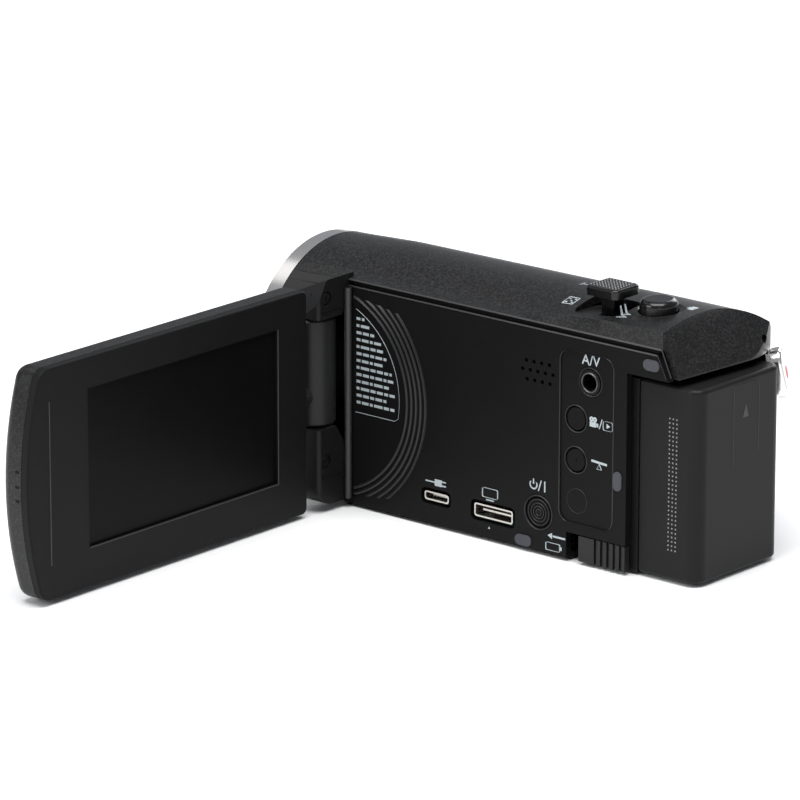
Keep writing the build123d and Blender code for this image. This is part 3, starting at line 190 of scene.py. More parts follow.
def soft_box(name, place, aim, width, height, power):
    """A rectangular soft light at place, facing aim."""
    data = bpy.data.lights.new(name, "AREA")
    data.shape = "RECTANGLE"
    data.size = width
    data.size_y = height
    data.energy = power
    light = bpy.data.objects.new(name, data)
    bpy.context.scene.collection.objects.link(light)
    light.location = place
    light.rotation_euler = (Vector(aim) - Vector(place)).to_track_quat("-Z", "Y").to_euler()
    return light


soft_box("overhead", (0.25, 0.2, 1.3), (0, 0, 0), 1.3, 1.0, 28)
soft_box("left_side", (1.3, -0.5, 0.7), (0, 0, 0.03), 0.7, 0.7, 8)
soft_box("rear", (1.0, 1.2, 0.3), (0, 0, 0.03), 0.25, 0.8, 1.0)
soft_box("front_top", (0.1, -1.0, 1.1), (0, 0, 0.03), 0.5, 0.4, 0.5)
soft_box("right_side", (-1.4, -0.4, 0.6), (0, 0, 0.03), 0.8, 0.6, 6)

room = bpy.data.worlds.new("room")
bpy.context.scene.world = room
room.use_nodes = True
room_light = room.node_tree.nodes["Background"]
room_light.inputs["Color"].default_value = (0.9, 0.93, 1.0, 1)
room_light.inputs["Strength"].default_value = 0.3


# The casing: main cover, underside cover, hinge cover and screen shells, moulded in black plastic.
# The top and the screen's back are charcoal with a fine metal flake; the flat side is matt.
mm = 0.001


def moulded(name, shade, rough, grain=0.14, bump=0.00002, flake=0.0, specular=0.3, cell=0.00028):
    """Moulded plastic: a tone, a fine spark grain in its surface, and handling marks in its gloss."""
    material, start, shader, place = new_material(name)
    spark = start.node(
        "TexNoise", inputs={"Vector": place, "Scale": 1 / cell, "Detail": 3.0, "Roughness": 0.6}
    )
    wide = start.node(
        "TexNoise", inputs={"Vector": place, "Scale": 45.0, "Detail": 4.0, "Roughness": 0.55}
    )
    tone = (spark - 0.5) * grain * 2 + (wide - 0.5) * grain + 1
    if flake:
        cells = start.node("TexVoronoi", inputs={"Vector": place, "Scale": 1 / cell}, output=1)
        share = start.node("SeparateColor", inputs={"Color": cells})
        tone = tone + share ** 3.0 * flake - flake * 0.25
    base = (tone * 0.5).mix((0, 0, 0, 1), tuple(2 * part for part in shade) + (1,))
    height = spark + wide * 0.5
    wire_up(material.node_tree, shader, {
        "Base Color": base,
        "Roughness": (wide - 0.5) * 0.12 + (spark - 0.5) * 0.08 + rough,
        "Specular IOR Level": specular,
        "Normal": start.node("Bump", inputs={"Strength": 0.35, "Distance": bump, "Height": height}),
    })
    return material


def metal(name, shade, rough, grain=2500.0):
    """Plated or bare metal, with the faint mottle of its finish."""
    material, start, shader, place = new_material(name)
    streak = start.node("TexNoise", inputs={"Vector": place, "Scale": grain, "Detail": 4.0})
    wide = start.node("TexNoise", inputs={"Vector": place, "Scale": 120.0, "Detail": 3.0})
    shift = (streak - 0.5) * 0.16 + (wide - 0.5) * 0.1 + 1
    base = (shift * 0.5).mix((0, 0, 0, 1), tuple(2 * part for part in shade) + (1,))
    wire_up(material.node_tree, shader, {
        "Base Color": base,
        "Metallic": 1.0,
        "Roughness": (streak - 0.5) * 0.12 + (wide - 0.5) * 0.08 + rough,
        "Normal": start.node("Bump", inputs={"Strength": 0.2, "Distance": 0.00001, "Height": streak}),
    })
    return material


def glass(name, shade, rough):
    """Clear coated glass."""
    material, start, shader, place = new_material(name)
    wide = start.node("TexNoise", inputs={"Vector": place, "Scale": 60.0, "Detail": 3.0})
    wire_up(material.node_tree, shader, {
        "Base Color": wide.mix(tuple(0.8 * part for part in shade) + (1,), tuple(shade) + (1,)),
        "Roughness": (wide - 0.5) * 0.02 + rough,
        "Transmission Weight": 1.0,
        "IOR": 1.52,
    })
    return material


finishes = {
    "charcoal_cover": moulded(
        "charcoal_cover", (0.0115, 0.0115, 0.0117), 0.36, grain=0.3, flake=2.2, specular=0.27
    ),
    "black_cover": moulded("black_cover", (0.009, 0.009, 0.0093), 0.5, grain=0.25, specular=0.2),
    "matt_panel": moulded("matt_panel", (0.0052, 0.0052, 0.0053), 0.48, grain=0.4, specular=0.1),
    "screen_plastic": moulded("screen_plastic", (0.0062, 0.0062, 0.0063), 0.5, grain=0.25, specular=0.12),
    "battery_plastic": moulded("battery_plastic", (0.0115, 0.0115, 0.0117), 0.38, grain=0.2, specular=0.12),
    "gloss_black": moulded("gloss_black", (0.004, 0.004, 0.0042), 0.2, specular=0.4, bump=0.000004),
    "grey_rubber": moulded("grey_rubber", (0.065, 0.067, 0.077), 0.75, specular=0.15),
    "satin_metal": metal("satin_metal", (0.95, 0.925, 0.9), 0.2, grain=4000.0),
    "steel": metal("steel", (0.6, 0.58, 0.54), 0.25),
    "black_steel": metal("black_steel", (0.11, 0.11, 0.112), 0.35),
    "brass": metal("brass", (0.78, 0.6, 0.3), 0.28),
    "chassis_metal": metal("chassis_metal", (0.5, 0.5, 0.52), 0.5),
    "circuit_board": moulded("circuit_board", (0.02, 0.12, 0.06), 0.35, specular=0.5),
    "lens_glass": glass("lens_glass", (0.75, 0.8, 0.95), 0.02),
    "display_glass": moulded(
        "display_glass", (0.0035, 0.0035, 0.0037), 0.35, specular=0.06, bump=0.000002
    ),
    "lamp_red": moulded("lamp_red", (0.5, 0.02, 0.02), 0.3, specular=0.4),
    "webbing": moulded("webbing", (0.012, 0.012, 0.013), 0.85),
    "pad_fabric": moulded("pad_fabric", (0.016, 0.016, 0.017), 0.9),
    # A coat lighter than the casing for the edge beads: a painted highlight along rounded edges.
    "edge_catch": moulded("edge_catch", (0.03, 0.03, 0.0305), 0.35, specular=0.4),
    # A softer light coat for ribs, rings and fine raised lines: a painted highlight on them.
    "soft_catch": moulded("soft_catch", (0.016, 0.016, 0.0162), 0.35, specular=0.4),
    "hinge_plastic": moulded("hinge_plastic", (0.014, 0.014, 0.0142), 0.4, grain=0.25, specular=0.25),
    "silk_print": moulded("silk_print", (0.42, 0.47, 0.49), 0.6, specular=0.2, bump=0.000002),
    "smoked_lamp": moulded("smoked_lamp", (0.012, 0.004, 0.004), 0.25, specular=0.4),
}
for piece in frame["record"]["subparts"]:
    node = frame["nodes"][piece["node"]]
    node.data.materials.clear()
    node.data.materials.append(finishes[piece["material_slot"]])
frame["nodes"]["status_lamp"].data.materials[0] = finishes["smoked_lamp"]
for name in ("hinge_barrel", "battery_lever"):
    frame["nodes"][name].data.materials[0] = finishes["hinge_plastic"]


# The hinge cover is one moulding with two finishes: matt black on the hinge's block, charcoal
# paint on the nose behind the lens ring, which carries on from the main cover.
def hinge_cover_finish():
    material, start, shader, place = new_material("hinge_cover_finish")
    tree = material.node_tree
    across = start.node("SeparateXYZ", inputs={"Vector": place})
    along, up = (Wire(tree, across.socket.node.outputs[axis]) for axis in (1, 2))
    lens_axis = 30 * mm
    reach = (across * across + (up - lens_axis) * (up - lens_axis)) ** 0.5
    nose = (1 - reach.clamped(25.85 * mm, 25.95 * mm)) * (1 - along.clamped(-35.3 * mm, -35.2 * mm))
    spark = start.node("TexNoise", inputs={"Vector": place, "Scale": 3500.0, "Detail": 3.0})
    tone = (spark - 0.5) * 0.3 + 1
    painted = (tone * 0.5).mix((0, 0, 0, 1), (0.04, 0.04, 0.041, 1))
    plain = (tone * 0.5).mix((0, 0, 0, 1), (0.014, 0.014, 0.0145, 1))
    wire_up(tree, shader, {
        "Base Color": nose.mix(plain, painted),
        "Roughness": (spark - 0.5) * 0.1 + 0.45,
        "Specular IOR Level": 0.2,
        "Normal": start.node("Bump", inputs={"Strength": 0.35, "Distance": 0.00002, "Height": spark}),
    })
    return material


frame["nodes"]["hinge_cover"].data.materials[0] = hinge_cover_finish()


# Raised arcs on the flat side, moulded in the panel round the hinge: five half-round ribs,
# cut off by the strip at their front and by the panel's edges. Their coat is lighter than the
# panel's: a painted highlight along the ribs.
def deselect():
    bpy.ops.object.select_all(action="DESELECT")


def fixed(piece, name, finish, body, angle=40):
    """Names a modelled piece, settles its place into its mesh, finishes it and fixes it to a body."""
    deselect()
    piece.select_set(True)
    bpy.context.view_layer.objects.active = piece
    bpy.ops.object.transform_apply(location=True, rotation=True, scale=True)
    bpy.ops.object.shade_smooth_by_angle(angle=math.radians(angle))
    piece.name = name
    piece.data.name = name
    piece.data.materials.clear()
    piece.data.materials.append(finishes[finish])
    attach(piece, body)
    return piece


def joined(parts):
    """Several meshes as one object."""
    deselect()
    for part in parts:
        part.select_set(True)
    bpy.context.view_layer.objects.active = parts[0]
    if len(parts) > 1:
        bpy.ops.object.join()
    bpy.ops.object.transform_apply(location=True, rotation=True, scale=True)
    return bpy.context.object


def cut(piece, point, out):
    """Cuts off what lies beyond a plane and closes the cut."""
    deselect()
    piece.select_set(True)
    bpy.context.view_layer.objects.active = piece
    bpy.ops.object.transform_apply(location=True, rotation=True, scale=True)
    bpy.ops.object.mode_set(mode="EDIT")
    bpy.ops.mesh.select_all(action="SELECT")
    bpy.ops.mesh.bisect(plane_co=point, plane_no=out, use_fill=True, clear_outer=True)
    bpy.ops.object.mode_set(mode="OBJECT")


panel_x = 17 * mm
side_turn = (0, math.radians(90), 0)


def side_ring(y, z, radius, thick, x=panel_x, around=48):
    """A ring of round wire lying on the flat side."""
    deselect()
    bpy.ops.mesh.primitive_torus_add(
        major_radius=radius, minor_radius=thick, major_segments=around, minor_segments=8,
        location=(x, y, z), rotation=side_turn,
    )
    return bpy.context.object


arc_y, arc_z = -41.2, 26.1
inner_arc = 23.0
arcs = []
for radius in (inner_arc, 24.3, 25.6, 26.9, 28.2):
    rib = side_ring(arc_y * mm, arc_z * mm, radius * mm, 0.4 * mm, x=panel_x - 0.08 * mm, around=160)
    cut(rib, (0, -33.3 * mm, 0), (0, -1, 0))
    cut(rib, (0, 0, 48.0 * mm - (radius - inner_arc) * 0.35 * mm), (0, 0, 1))
    cut(rib, (0, 0, 2.8 * mm + (radius - inner_arc) * 0.2 * mm), (0, 0, -1))
    cut(rib, (panel_x - 0.2 * mm, 0, 0), (-1, 0, 0))
    arcs.append(rib)
fixed(joined(arcs), "panel_arcs", "soft_catch", "root")


# Edge beads: the cover's lower lip and the panel's upper lip on either side of the shadow gap,
# rounded in the mould, which run back from the hinge and turn down at the rear. They take the
# lighter edge coat: a painted highlight along both lips.
def bead(points, radius, sides=8):
    """A round bead run along a line of points: a circle drawn out from point to point."""
    deselect()
    first, second = Vector(points[0]), Vector(points[1])
    bpy.ops.mesh.primitive_circle_add(
        vertices=sides, radius=radius, fill_type="NGON", location=first,
        rotation=(second - first).to_track_quat("Z", "Y").to_euler(),
    )
    run = bpy.context.object
    bpy.ops.object.transform_apply(location=True, rotation=True, scale=True)
    bpy.ops.object.mode_set(mode="EDIT")
    bpy.ops.mesh.select_all(action="SELECT")
    for here, there in zip(points, points[1:]):
        step = Vector(there) - Vector(here)
        bpy.ops.mesh.extrude_region_move(TRANSFORM_OT_translate={"value": step})
    bpy.ops.mesh.select_all(action="SELECT")
    bpy.ops.mesh.normals_make_consistent(inside=False)
    bpy.ops.object.mode_set(mode="OBJECT")
    return run


def side_line(points, x=panel_x):
    return [(x, y * mm, z * mm) for y, z in points]


lips = [
    bead(side_line([(-34.8, 51.35), (50.9, 51.35), (51.3, 51.2), (53.7, 45.9)], 16.9 * mm), 0.22 * mm),
    bead(side_line([(-34.8, 49.95), (49.9, 49.95), (50.3, 49.8), (52.6, 45.1)], 16.95 * mm), 0.2 * mm),
]
fixed(joined(lips), "rim_lips", "edge_catch", "root")

# The raised strip at the panel's front edge, rounded over along its whole height. Its bead takes
# the lighter edge coat: a painted highlight on the rounded edge.
strip_x, strip_y = 17.95 * mm, -34.25 * mm
strip_bead = bead([(strip_x, strip_y, 2.2 * mm), (strip_x, strip_y, 49.8 * mm)], 0.78 * mm, 16)
fixed(strip_bead, "strip_lip", "edge_catch", "root")


def rounded_outline(y, z, half_y, half_z, radius, steps=6):
    """The corners of a rounded rectangle, with its first point again at the end."""
    points = []
    for corner, (away_y, away_z) in enumerate(((1, 1), (-1, 1), (-1, -1), (1, -1))):
        for step in range(steps + 1):
            angle = math.radians(90 * corner + 90 * step / steps)
            points.append((
                y + away_y * (half_y - radius) + radius * math.cos(angle),
                z + away_z * (half_z - radius) + radius * math.sin(angle),
            ))
    return points + points[:1]


# The field's raised outline on the flat side, in a coat lighter than the panel: a painted highlight along
# its edge.
field_edge = bead(side_line(rounded_outline(31.45, 27.95, 7.25, 18.95, 2.5), 16.98 * mm), 0.16 * mm)
fixed(field_edge, "field_edge", "soft_catch", "root")

# Turned rings round the jack and the buttons on the flat side, and on the power button's face.
# All but the jack's lip take a coat lighter than the panel: a painted highlight on the rings.
zone_x = 16.75 * mm
power_place = (18.6 * mm, 9.4 * mm)
jack_place = (32.3 * mm, 40.8 * mm)
button_rings = [
    side_ring(*power_place, 3.75 * mm, 0.16 * mm),
    side_ring(28.5 * mm, 32.1 * mm, 2.95 * mm, 0.14 * mm, x=zone_x),
    side_ring(28.5 * mm, 23.0 * mm, 2.95 * mm, 0.14 * mm, x=zone_x),
    side_ring(*jack_place, 3.05 * mm, 0.14 * mm, x=zone_x),
    side_ring(28.9 * mm, 14.0 * mm, 2.7 * mm, 0.06 * mm, x=16.76 * mm),
]
fixed(joined(button_rings), "button_surrounds", "soft_catch", "root")
power_rings = [
    side_ring(*power_place, radius * mm, 0.13 * mm, x=16.9 * mm) for radius in (0.7, 1.35, 2.05, 2.85)
]
fixed(joined(power_rings), "power_button_turning", "soft_catch", "power_button")
jack_ring = side_ring(*jack_place, 2.05 * mm, 0.22 * mm, x=17.1 * mm)
fixed(jack_ring, "jack_lip", "black_steel", "root")


# Silk-screened marks on the flat side: pale ink, plain pictograms, and the usual port letters.
def slab(y, z, wide, high, turn=0, x=panel_x, thick=0.03 * mm):
    """A thin upright block of ink on the flat side. Its sizes are in millimetres."""
    deselect()
    bpy.ops.mesh.primitive_cube_add(
        size=1, location=(x, y * mm, z * mm), rotation=(math.radians(turn), 0, 0)
    )
    bpy.context.object.scale = (thick * 2, wide * mm, high * mm)
    return bpy.context.object


def ink_ring(y, z, radius, wide, x=panel_x):
    """A flat printed ring."""
    ring = side_ring(y * mm, z * mm, radius * mm, wide / 2 * mm, x=x)
    ring.scale = (1, 1, 0.06)
    return ring


# A capital letter's height is this part of its font size, turned over.
capital = 1.42


def lettering(text, y, z, high, x=panel_x):
    """Plain letters on the flat side, as a mesh."""
    deselect()
    upright = (math.radians(90), 0, math.radians(90))
    bpy.ops.object.text_add(location=(x, y * mm, z * mm), rotation=upright)
    words = bpy.context.object
    words.data.body = text
    words.data.size = high * mm * capital
    words.data.align_x = "CENTER"
    words.data.align_y = "CENTER"
    words.data.extrude = 0.03 * mm
    words.data.offset = 0.00002
    bpy.ops.object.convert(target="MESH")
    return bpy.context.object


marks = [lettering("A/V", 32.3, 45.4, 2.2, x=zone_x)]
# power: a broken ring with an upright stroke, and an on stroke beside it
power_ring = ink_ring(17.2, 15.4, 0.95, 0.32)
cut(power_ring, (0, 0, 16.0 * mm), (0, 0, 1))
marks += [
    power_ring, slab(17.2, 16.1, 0.32, 1.2), slab(18.95, 15.4, 0.28, 2.6, -18),
    slab(20.3, 15.4, 0.34, 2.4),
]
# recording or playing: a small camera, a stroke, and an arrowhead in a frame
marks += [
    slab(33.0, 31.7, 1.7, 1.1, x=zone_x), slab(34.2, 31.7, 0.5, 0.8, x=zone_x),
    ink_ring(32.6, 32.8, 0.35, 0.4, x=zone_x), ink_ring(33.5, 32.8, 0.35, 0.4, x=zone_x),
    slab(35.1, 32.1, 0.25, 2.3, -18, x=zone_x),
]
marks.append(bead(side_line(rounded_outline(37.0, 32.0, 1.25, 1.0, 0.4, 3), zone_x), 0.13 * mm, 4))


def arrowhead(y, z, radius, turn, x=panel_x):
    """A printed three-cornered head that points turn degrees round from the rear."""
    deselect()
    bpy.ops.mesh.primitive_cylinder_add(
        vertices=3, radius=radius * mm, depth=0.06 * mm, location=(x, y * mm, z * mm), rotation=side_turn
    )
    head = bpy.context.object
    bpy.ops.object.transform_apply(location=False, rotation=True, scale=True)
    head.rotation_euler = (math.radians(turn), 0, 0)
    return head


marks.append(arrowhead(37.0, 32.0, 0.65, 0, x=zone_x))
# level: a beam on a pointed foot
marks.append(slab(34.8, 23.6, 4.2, 0.5, -4, x=zone_x))
foot = [(34.8, 23.3), (35.45, 22.1), (34.15, 22.1), (34.8, 23.3)]
marks.append(bead(side_line(foot, zone_x), 0.11 * mm, 4))
# data port: a plug's outline on its lead; picture port: a screen on its stand
marks += [
    slab(-11.6, 10.3, 2.6, 0.3), slab(-9.3, 10.3, 2.0, 1.5), slab(-7.7, 10.75, 1.1, 0.3),
    slab(-7.7, 9.85, 1.1, 0.3),
    bead(side_line(rounded_outline(5.2, 10.9, 2.1, 1.05, 0.3, 2)), 0.16 * mm, 4),
    slab(5.2, 9.35, 2.2, 0.3),
]
# battery release: an arrow over a battery's outline
marks += [
    slab(24.3, 4.9, 3.4, 0.42), arrowhead(22.0, 4.9, 0.8, 180),
    bead(side_line(rounded_outline(22.6, 2.5, 1.9, 0.85, 0.25, 2)), 0.16 * mm, 4),
    slab(24.8, 2.5, 0.5, 0.8),
    arrowhead(5.0, 3.1, 0.35, 90),
]
fixed(joined(marks), "side_marks", "silk_print", "root")

# The note printed inside the arcs, here plain rows of ink in a ruled outline, with no words.
note = []
note_radius = 20.8
words_in_row = (3, 5, 4, 6, 5, 6, 4, 6, 6, 5, 6, 5, 6)
for row, words in enumerate(words_in_row):
    row_z = 43.0 - row * 1.57
    left = -32.6
    limit = arc_y + math.sqrt(note_radius ** 2 - (row_z - arc_z) ** 2) - 1.3
    for word in range(words):
        length = (1.1, 1.9, 0.8, 2.4, 1.4, 1.7)[(word + 2 * row) % 6]
        length = min(length, limit - left)
        if length > 0.35:
            note.append(slab(left + length / 2, row_z, length, 0.62))
        left += length + 0.4
outline_arc = [
    (arc_y + note_radius * math.cos(math.radians(a)), arc_z + note_radius * math.sin(math.radians(a)))
    for a in range(66, -12, -4)
]
outline_arc += [(-21.7, 21.8), (-32.9, 21.8)]
note.append(bead(side_line(outline_arc), 0.07 * mm, 6))
fixed(joined(note), "note_rows", "silk_print", "root")


# The zoom plate's knurl: rows of small blunt points moulded in its top, lighter towards their tips.
def knurl_finish():
    material, start, shader, place = new_material("knurl_finish")
    split = start.node("SeparateXYZ", inputs={"Vector": place})
    up = Wire(material.node_tree, split.socket.node.outputs[2])
    tip = up.clamped(60.38 * mm, 60.48 * mm)
    knurl_mottle = start.node("TexNoise", inputs={"Vector": place, "Scale": 900.0, "Detail": 3.0})
    wire_up(material.node_tree, shader, {
        "Base Color": (tip * (knurl_mottle * 0.8 + 0.5)).mix((0.008, 0.008, 0.0085, 1), (0.45, 0.45, 0.45, 1)),
        "Roughness": (knurl_mottle - 0.5) * 0.2 + 0.4,
    })
    return material


def repeated(piece, rows):
    """Repeats a piece in rows, each given as the step between neighbours and their number."""
    for step, count in rows:
        repeat = piece.modifiers.new("repeat", "ARRAY")
        repeat.use_relative_offset = False
        repeat.use_constant_offset = True
        repeat.constant_offset_displace = step
        repeat.count = count
        bpy.ops.object.modifier_apply(modifier="repeat")


finishes["knurl"] = knurl_finish()
plate_low, plate_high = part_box("zoom_lever")
deselect()
bpy.ops.mesh.primitive_cone_add(
    vertices=4, radius1=0.42 * mm, radius2=0.12 * mm, depth=0.34 * mm,
    location=(plate_low[0] + 1.05 * mm, plate_low[1] + 1.1 * mm, plate_high[2] + 0.12 * mm),
)
knurl = bpy.context.object
bpy.ops.object.transform_apply(location=True, rotation=True, scale=True)
repeated(knurl, (((0.9 * mm, 0, 0), 8), ((0, 0.83 * mm, 0), 9)))
fixed(knurl, "zoom_knurl", "knurl", "zoom_lever")

# Marks on the deck: a thumbnail grid, the wide and tele letters of the zoom, and a camera.
above_deck = 57 * mm


def deck_slab(x, y, wide, long):
    """A thin block of ink over the deck. Its sizes are in millimetres."""
    deselect()
    bpy.ops.mesh.primitive_cube_add(size=1, location=(x * mm, y * mm, above_deck))
    bpy.context.object.scale = (wide * mm, long * mm, 0.05 * mm)
    return bpy.context.object


def on_deck(parts, name):
    """Lays flat ink on the curved deck: cut fine, then pressed down on to the cover."""
    ink = joined(parts)
    bpy.ops.object.mode_set(mode="EDIT")
    bpy.ops.mesh.select_all(action="SELECT")
    bpy.ops.mesh.subdivide(number_cuts=2)
    bpy.ops.object.mode_set(mode="OBJECT")
    press = ink.modifiers.new("press", "SHRINKWRAP")
    press.target = frame["nodes"]["main_cover"]
    press.wrap_method = "PROJECT"
    press.use_project_z = True
    press.use_negative_direction = True
    press.use_positive_direction = False
    press.offset = 0.03 * mm
    bpy.context.view_layer.objects.active = ink
    bpy.ops.object.modifier_apply(modifier="press")
    return fixed(ink, name, "silk_print", "root")


def deck_letter(text, x, y, high):
    """A letter on the deck, read from behind the camcorder."""
    deselect()
    bpy.ops.object.text_add(location=(x * mm, y * mm, above_deck), rotation=(0, 0, math.pi))
    words = bpy.context.object
    words.data.body = text
    words.data.size = high * mm * capital
    words.data.align_x = "CENTER"
    words.data.align_y = "CENTER"
    words.data.offset = 0.00008
    words.data.extrude = 0.025 * mm
    bpy.ops.object.convert(target="MESH")
    return bpy.context.object


on_deck([deck_letter("W", 11.3, 37.0, 2.2)], "wide_letter")
on_deck([deck_letter("T", 0.0, 17.6, 2.4)], "tele_letter")
grid_x, grid_y = 8.9, 20.5
thumbnail = [
    deck_slab(grid_x + a * 0.75, grid_y + b * 0.75, 0.55, 0.55)
    for a in (-1, 0, 1) for b in (-1, 0, 1) if (a + b) % 2 == 0
]
thumbnail += [deck_slab(grid_x, grid_y + side * 1.35, 3.0, 0.25) for side in (-1, 1)]
thumbnail += [deck_slab(grid_x + side * 1.4, grid_y, 0.25, 2.9) for side in (-1, 1)]
on_deck(thumbnail, "thumbnail_mark")
on_deck([deck_slab(0.3, 46.4, 2.3, 1.6), deck_slab(0.3, 45.4, 1.0, 0.5)], "still_camera_mark")

# The battery's grip dots: three columns of low round pips moulded in its left face.
deselect()
battery_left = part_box("battery_rear_case")[1][0]
bpy.ops.mesh.primitive_cone_add(
    vertices=8, radius1=0.24 * mm, radius2=0.14 * mm, depth=0.12 * mm,
    location=(battery_left + 0.03 * mm, 51.7 * mm, 7.4 * mm), rotation=side_turn,
)
pips = bpy.context.object
bpy.ops.object.transform_apply(location=True, rotation=True, scale=True)
repeated(pips, (((0, 0.95 * mm, 0), 3), ((0, 0, 0.957 * mm), 31)))
finishes["pip_grey"] = moulded("pip_grey", (0.2, 0.2, 0.2), 0.4, specular=0.4)
fixed(pips, "battery_pips", "pip_grey", "battery")

# The battery's rear label field: two fine raised lines, with a moulded arrow between them,
# all in a coat lighter than the battery: a painted highlight on their edges.
battery_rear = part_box("battery_rear_case")[1][1]
field_lines = [
    bead([(x * mm, battery_rear - 0.02 * mm, z * mm) for x, z in line], 0.1 * mm)
    for line in (
        [(-6.0, 26.0), (-6.0, 40.4), (-5.7, 41.4), (-4.9, 41.9), (2.2, 42.0)],
        [(2.7, 24.0), (2.7, 41.8)],
    )
]
deselect()
bpy.ops.mesh.primitive_cylinder_add(
    vertices=3, radius=1.15 * mm, depth=0.08 * mm, rotation=(math.radians(90), 0, 0),
    location=(-1.5 * mm, battery_rear, 35.4 * mm),
)
bpy.context.object.scale = (1, 1.7, 1)
field_lines.append(bpy.context.object)
fixed(joined(field_lines), "battery_field_lines", "soft_catch", "battery")

# The display's frame line, where the window sits in its recess, and the crease near the screen's end,
# drawn as light beads: a painted highlight on the recess wall and on the crease.
screen_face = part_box("screen_bezel")[1][1]
frame_lines = [
    bead([(x0 * mm, screen_face, z0 * mm), (x1 * mm, screen_face, z1 * mm)], 0.14 * mm)
    for x0, z0, x1, z1 in ((39.2, 9.9, 39.2, 44.5), (39.2, 9.9, 98.5, 9.9), (110.0, 8.8, 110.0, 44.1))
]
fixed(joined(frame_lines), "screen_face_lines", "edge_catch", "screen")
screen_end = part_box("screen_bezel")[1][0]
nubs = []
for z in (23.7, 26.75, 30.0):
    deselect()
    bpy.ops.mesh.primitive_uv_sphere_add(
        segments=16, ring_count=8, radius=0.5 * mm, location=(screen_end - 0.1 * mm, -38.7 * mm, z * mm)
    )
    bpy.context.object.scale = (0.7, 1.2, 0.7)
    nubs.append(bpy.context.object)
fixed(joined(nubs), "screen_nubs", "screen_plastic", "screen")

# The hinge block's ribs: two short ledges moulded across its rear face.
block_rear = -35.0 * mm
ledges = []
for low_x, high_x, z in ((19.3, 25.6, 45.6), (19.3, 25.8, 8.2)):
    ledges.append(bead([(low_x * mm, block_rear, z * mm), (high_x * mm, block_rear, z * mm)], 0.28 * mm))
fixed(joined(ledges), "hinge_ledges", "matt_panel", "root")

# The grip belt: flat woven webbing from bar to bar round the hand, doubled and stitched at its
# ends, and a soft pad inside it. The belt is modelled flat; the pad is swollen by simulation.
belt_low, belt_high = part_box("grip_belt")


def soft_finish(name, shade, across, along):
    """Cloth: two crossed rows of yarn in its height, with the tone of each yarn a little different."""
    material, start, shader, place = new_material(name)
    yarns = []
    for direction, scale in (("Z", across), ("Y", along)):
        rows = start.node(
            "TexWave", {"wave_type": "BANDS", "bands_direction": direction},
            {"Vector": place, "Scale": scale, "Distortion": 0.6, "Detail": 1.0},
        )
        yarns.append(start.node("SeparateColor", inputs={"Color": rows}))
    fuzz = start.node("TexNoise", inputs={"Vector": place, "Scale": 1500.0, "Detail": 4.0})
    yarn = start.maths("MAXIMUM", *yarns)
    tone = yarn * 0.7 + fuzz * 0.5 + 0.2
    wire_up(material.node_tree, shader, {
        "Base Color": (tone * 0.5).mix((0, 0, 0, 1), tuple(2 * part for part in shade) + (1,)),
        "Roughness": (fuzz - 0.5) * 0.1 + 0.88,
        "Specular IOR Level": 0.2,
        "Sheen Weight": 0.25,
        "Normal": start.node(
            "Bump", inputs={"Strength": 0.7, "Distance": 0.00012, "Height": yarn + fuzz * 0.3}
        ),
    })
    return material


finishes["webbing"] = soft_finish("webbing", (0.014, 0.014, 0.015), 320.0, 420.0)
finishes["pad_fabric"] = soft_finish("pad_fabric", (0.018, 0.018, 0.019), 260.0, 260.0)
belt_mid = (belt_low[1] + belt_high[1]) / 2
belt_bow = 14.0 * mm
belt_half = 38.0 * mm
belt_radius = (belt_half ** 2 + belt_bow ** 2) / (2 * belt_bow)
belt_centre = Vector((-28.6 * mm - belt_bow + belt_radius, belt_mid, 0))
bar_radius = 0.7 * mm
half_angle = math.asin((belt_half - bar_radius) / belt_radius)


def bowed(radius, half, low, high, thick, name, steps=64, rows=8):
    """A strip bowed round the belt's centre: a grid laid flat, then wrapped to the radius."""
    deselect()
    bpy.ops.mesh.primitive_grid_add(x_subdivisions=steps, y_subdivisions=rows, size=1)
    strip = bpy.context.object
    for point in strip.data.vertices:
        along, across = point.co.x * 2, point.co.y + 0.5
        angle = half * along
        point.co = (
            belt_centre.x - radius * math.cos(angle),
            belt_centre.y + radius * math.sin(angle),
            low + (high - low) * across,
        )
    wall = strip.modifiers.new("wall", "SOLIDIFY")
    wall.thickness = thick
    wall.offset = 0
    bpy.ops.object.modifier_apply(modifier="wall")
    strip.name = name
    return strip


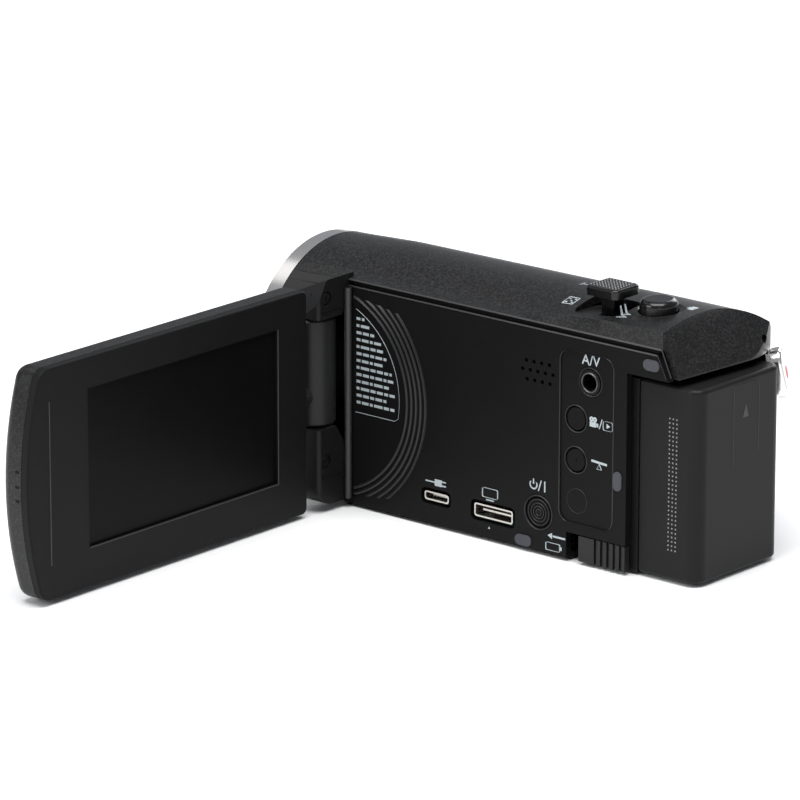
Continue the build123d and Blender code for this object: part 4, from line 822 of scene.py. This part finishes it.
strap = bowed(belt_radius, half_angle, belt_low[2], belt_high[2], 1.2 * mm, "strap")
layers = [strap]
seam_radius = belt_radius + 0.6 * mm
for side in (-1, 1):
    seam_angles = [side * half_angle * (0.55 + 0.4 * k / 12) for k in range(13)]
    for edge in (belt_low[2] + 1.5 * mm, belt_high[2] - 1.5 * mm):
        layers.append(bead([
            (belt_centre.x - seam_radius * math.cos(a), belt_centre.y + seam_radius * math.sin(a), edge)
            for a in seam_angles
        ], 0.16 * mm, 6))
strap = joined(layers)
rounding = strap.modifiers.new("rounding", "BEVEL")
rounding.width = 0.25 * mm
rounding.segments = 2
rounding.limit_method = "ANGLE"
bpy.ops.object.modifier_apply(modifier="rounding")
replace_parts(fixed(strap, "grip_webbing", "webbing", "root"), "grip_belt")

pad_low, pad_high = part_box("grip_pad")
pad_radius = belt_radius - 0.8 * mm - 0.3 * mm - 2.0 * mm
pad_half = math.asin(24.0 * mm / belt_radius) * 0.97
pad_thick = 2.4 * mm
swelling = 0.8 * mm
cushion = bowed(
    pad_radius, pad_half, pad_low[2] + 1.2 * mm, pad_high[2] - 1.2 * mm, pad_thick, "cushion", 48, 20
)
thicken = cushion.modifiers.new("voxels", "REMESH")
thicken.mode = "VOXEL"
thicken.voxel_size = 1.1 * mm
bpy.ops.object.modifier_apply(modifier="voxels")
before = [point.co.copy() for point in cushion.data.vertices]
cloth = cushion.modifiers.new("cloth", "CLOTH")
cloth.settings.use_pressure = True
cloth.settings.uniform_pressure_force = 4
cloth.settings.effector_weights.gravity = 0
cloth.settings.quality = 6
for number in range(1, 21):
    bpy.context.scene.frame_set(number)
bpy.ops.object.modifier_apply(modifier="cloth")
for point, rest in zip(cushion.data.vertices, before):
    move = point.co - rest
    if move.length > swelling:
        point.co = rest + move.normalized() * swelling
bpy.context.scene.frame_set(1)
smooth = cushion.modifiers.new("smooth", "SUBSURF")
smooth.levels = 1
smooth.render_levels = 1
bpy.ops.object.modifier_apply(modifier="smooth")
fixed(cushion, "grip_cushion", "pad_fabric", "root", angle=80)
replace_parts(cushion, "grip_pad")
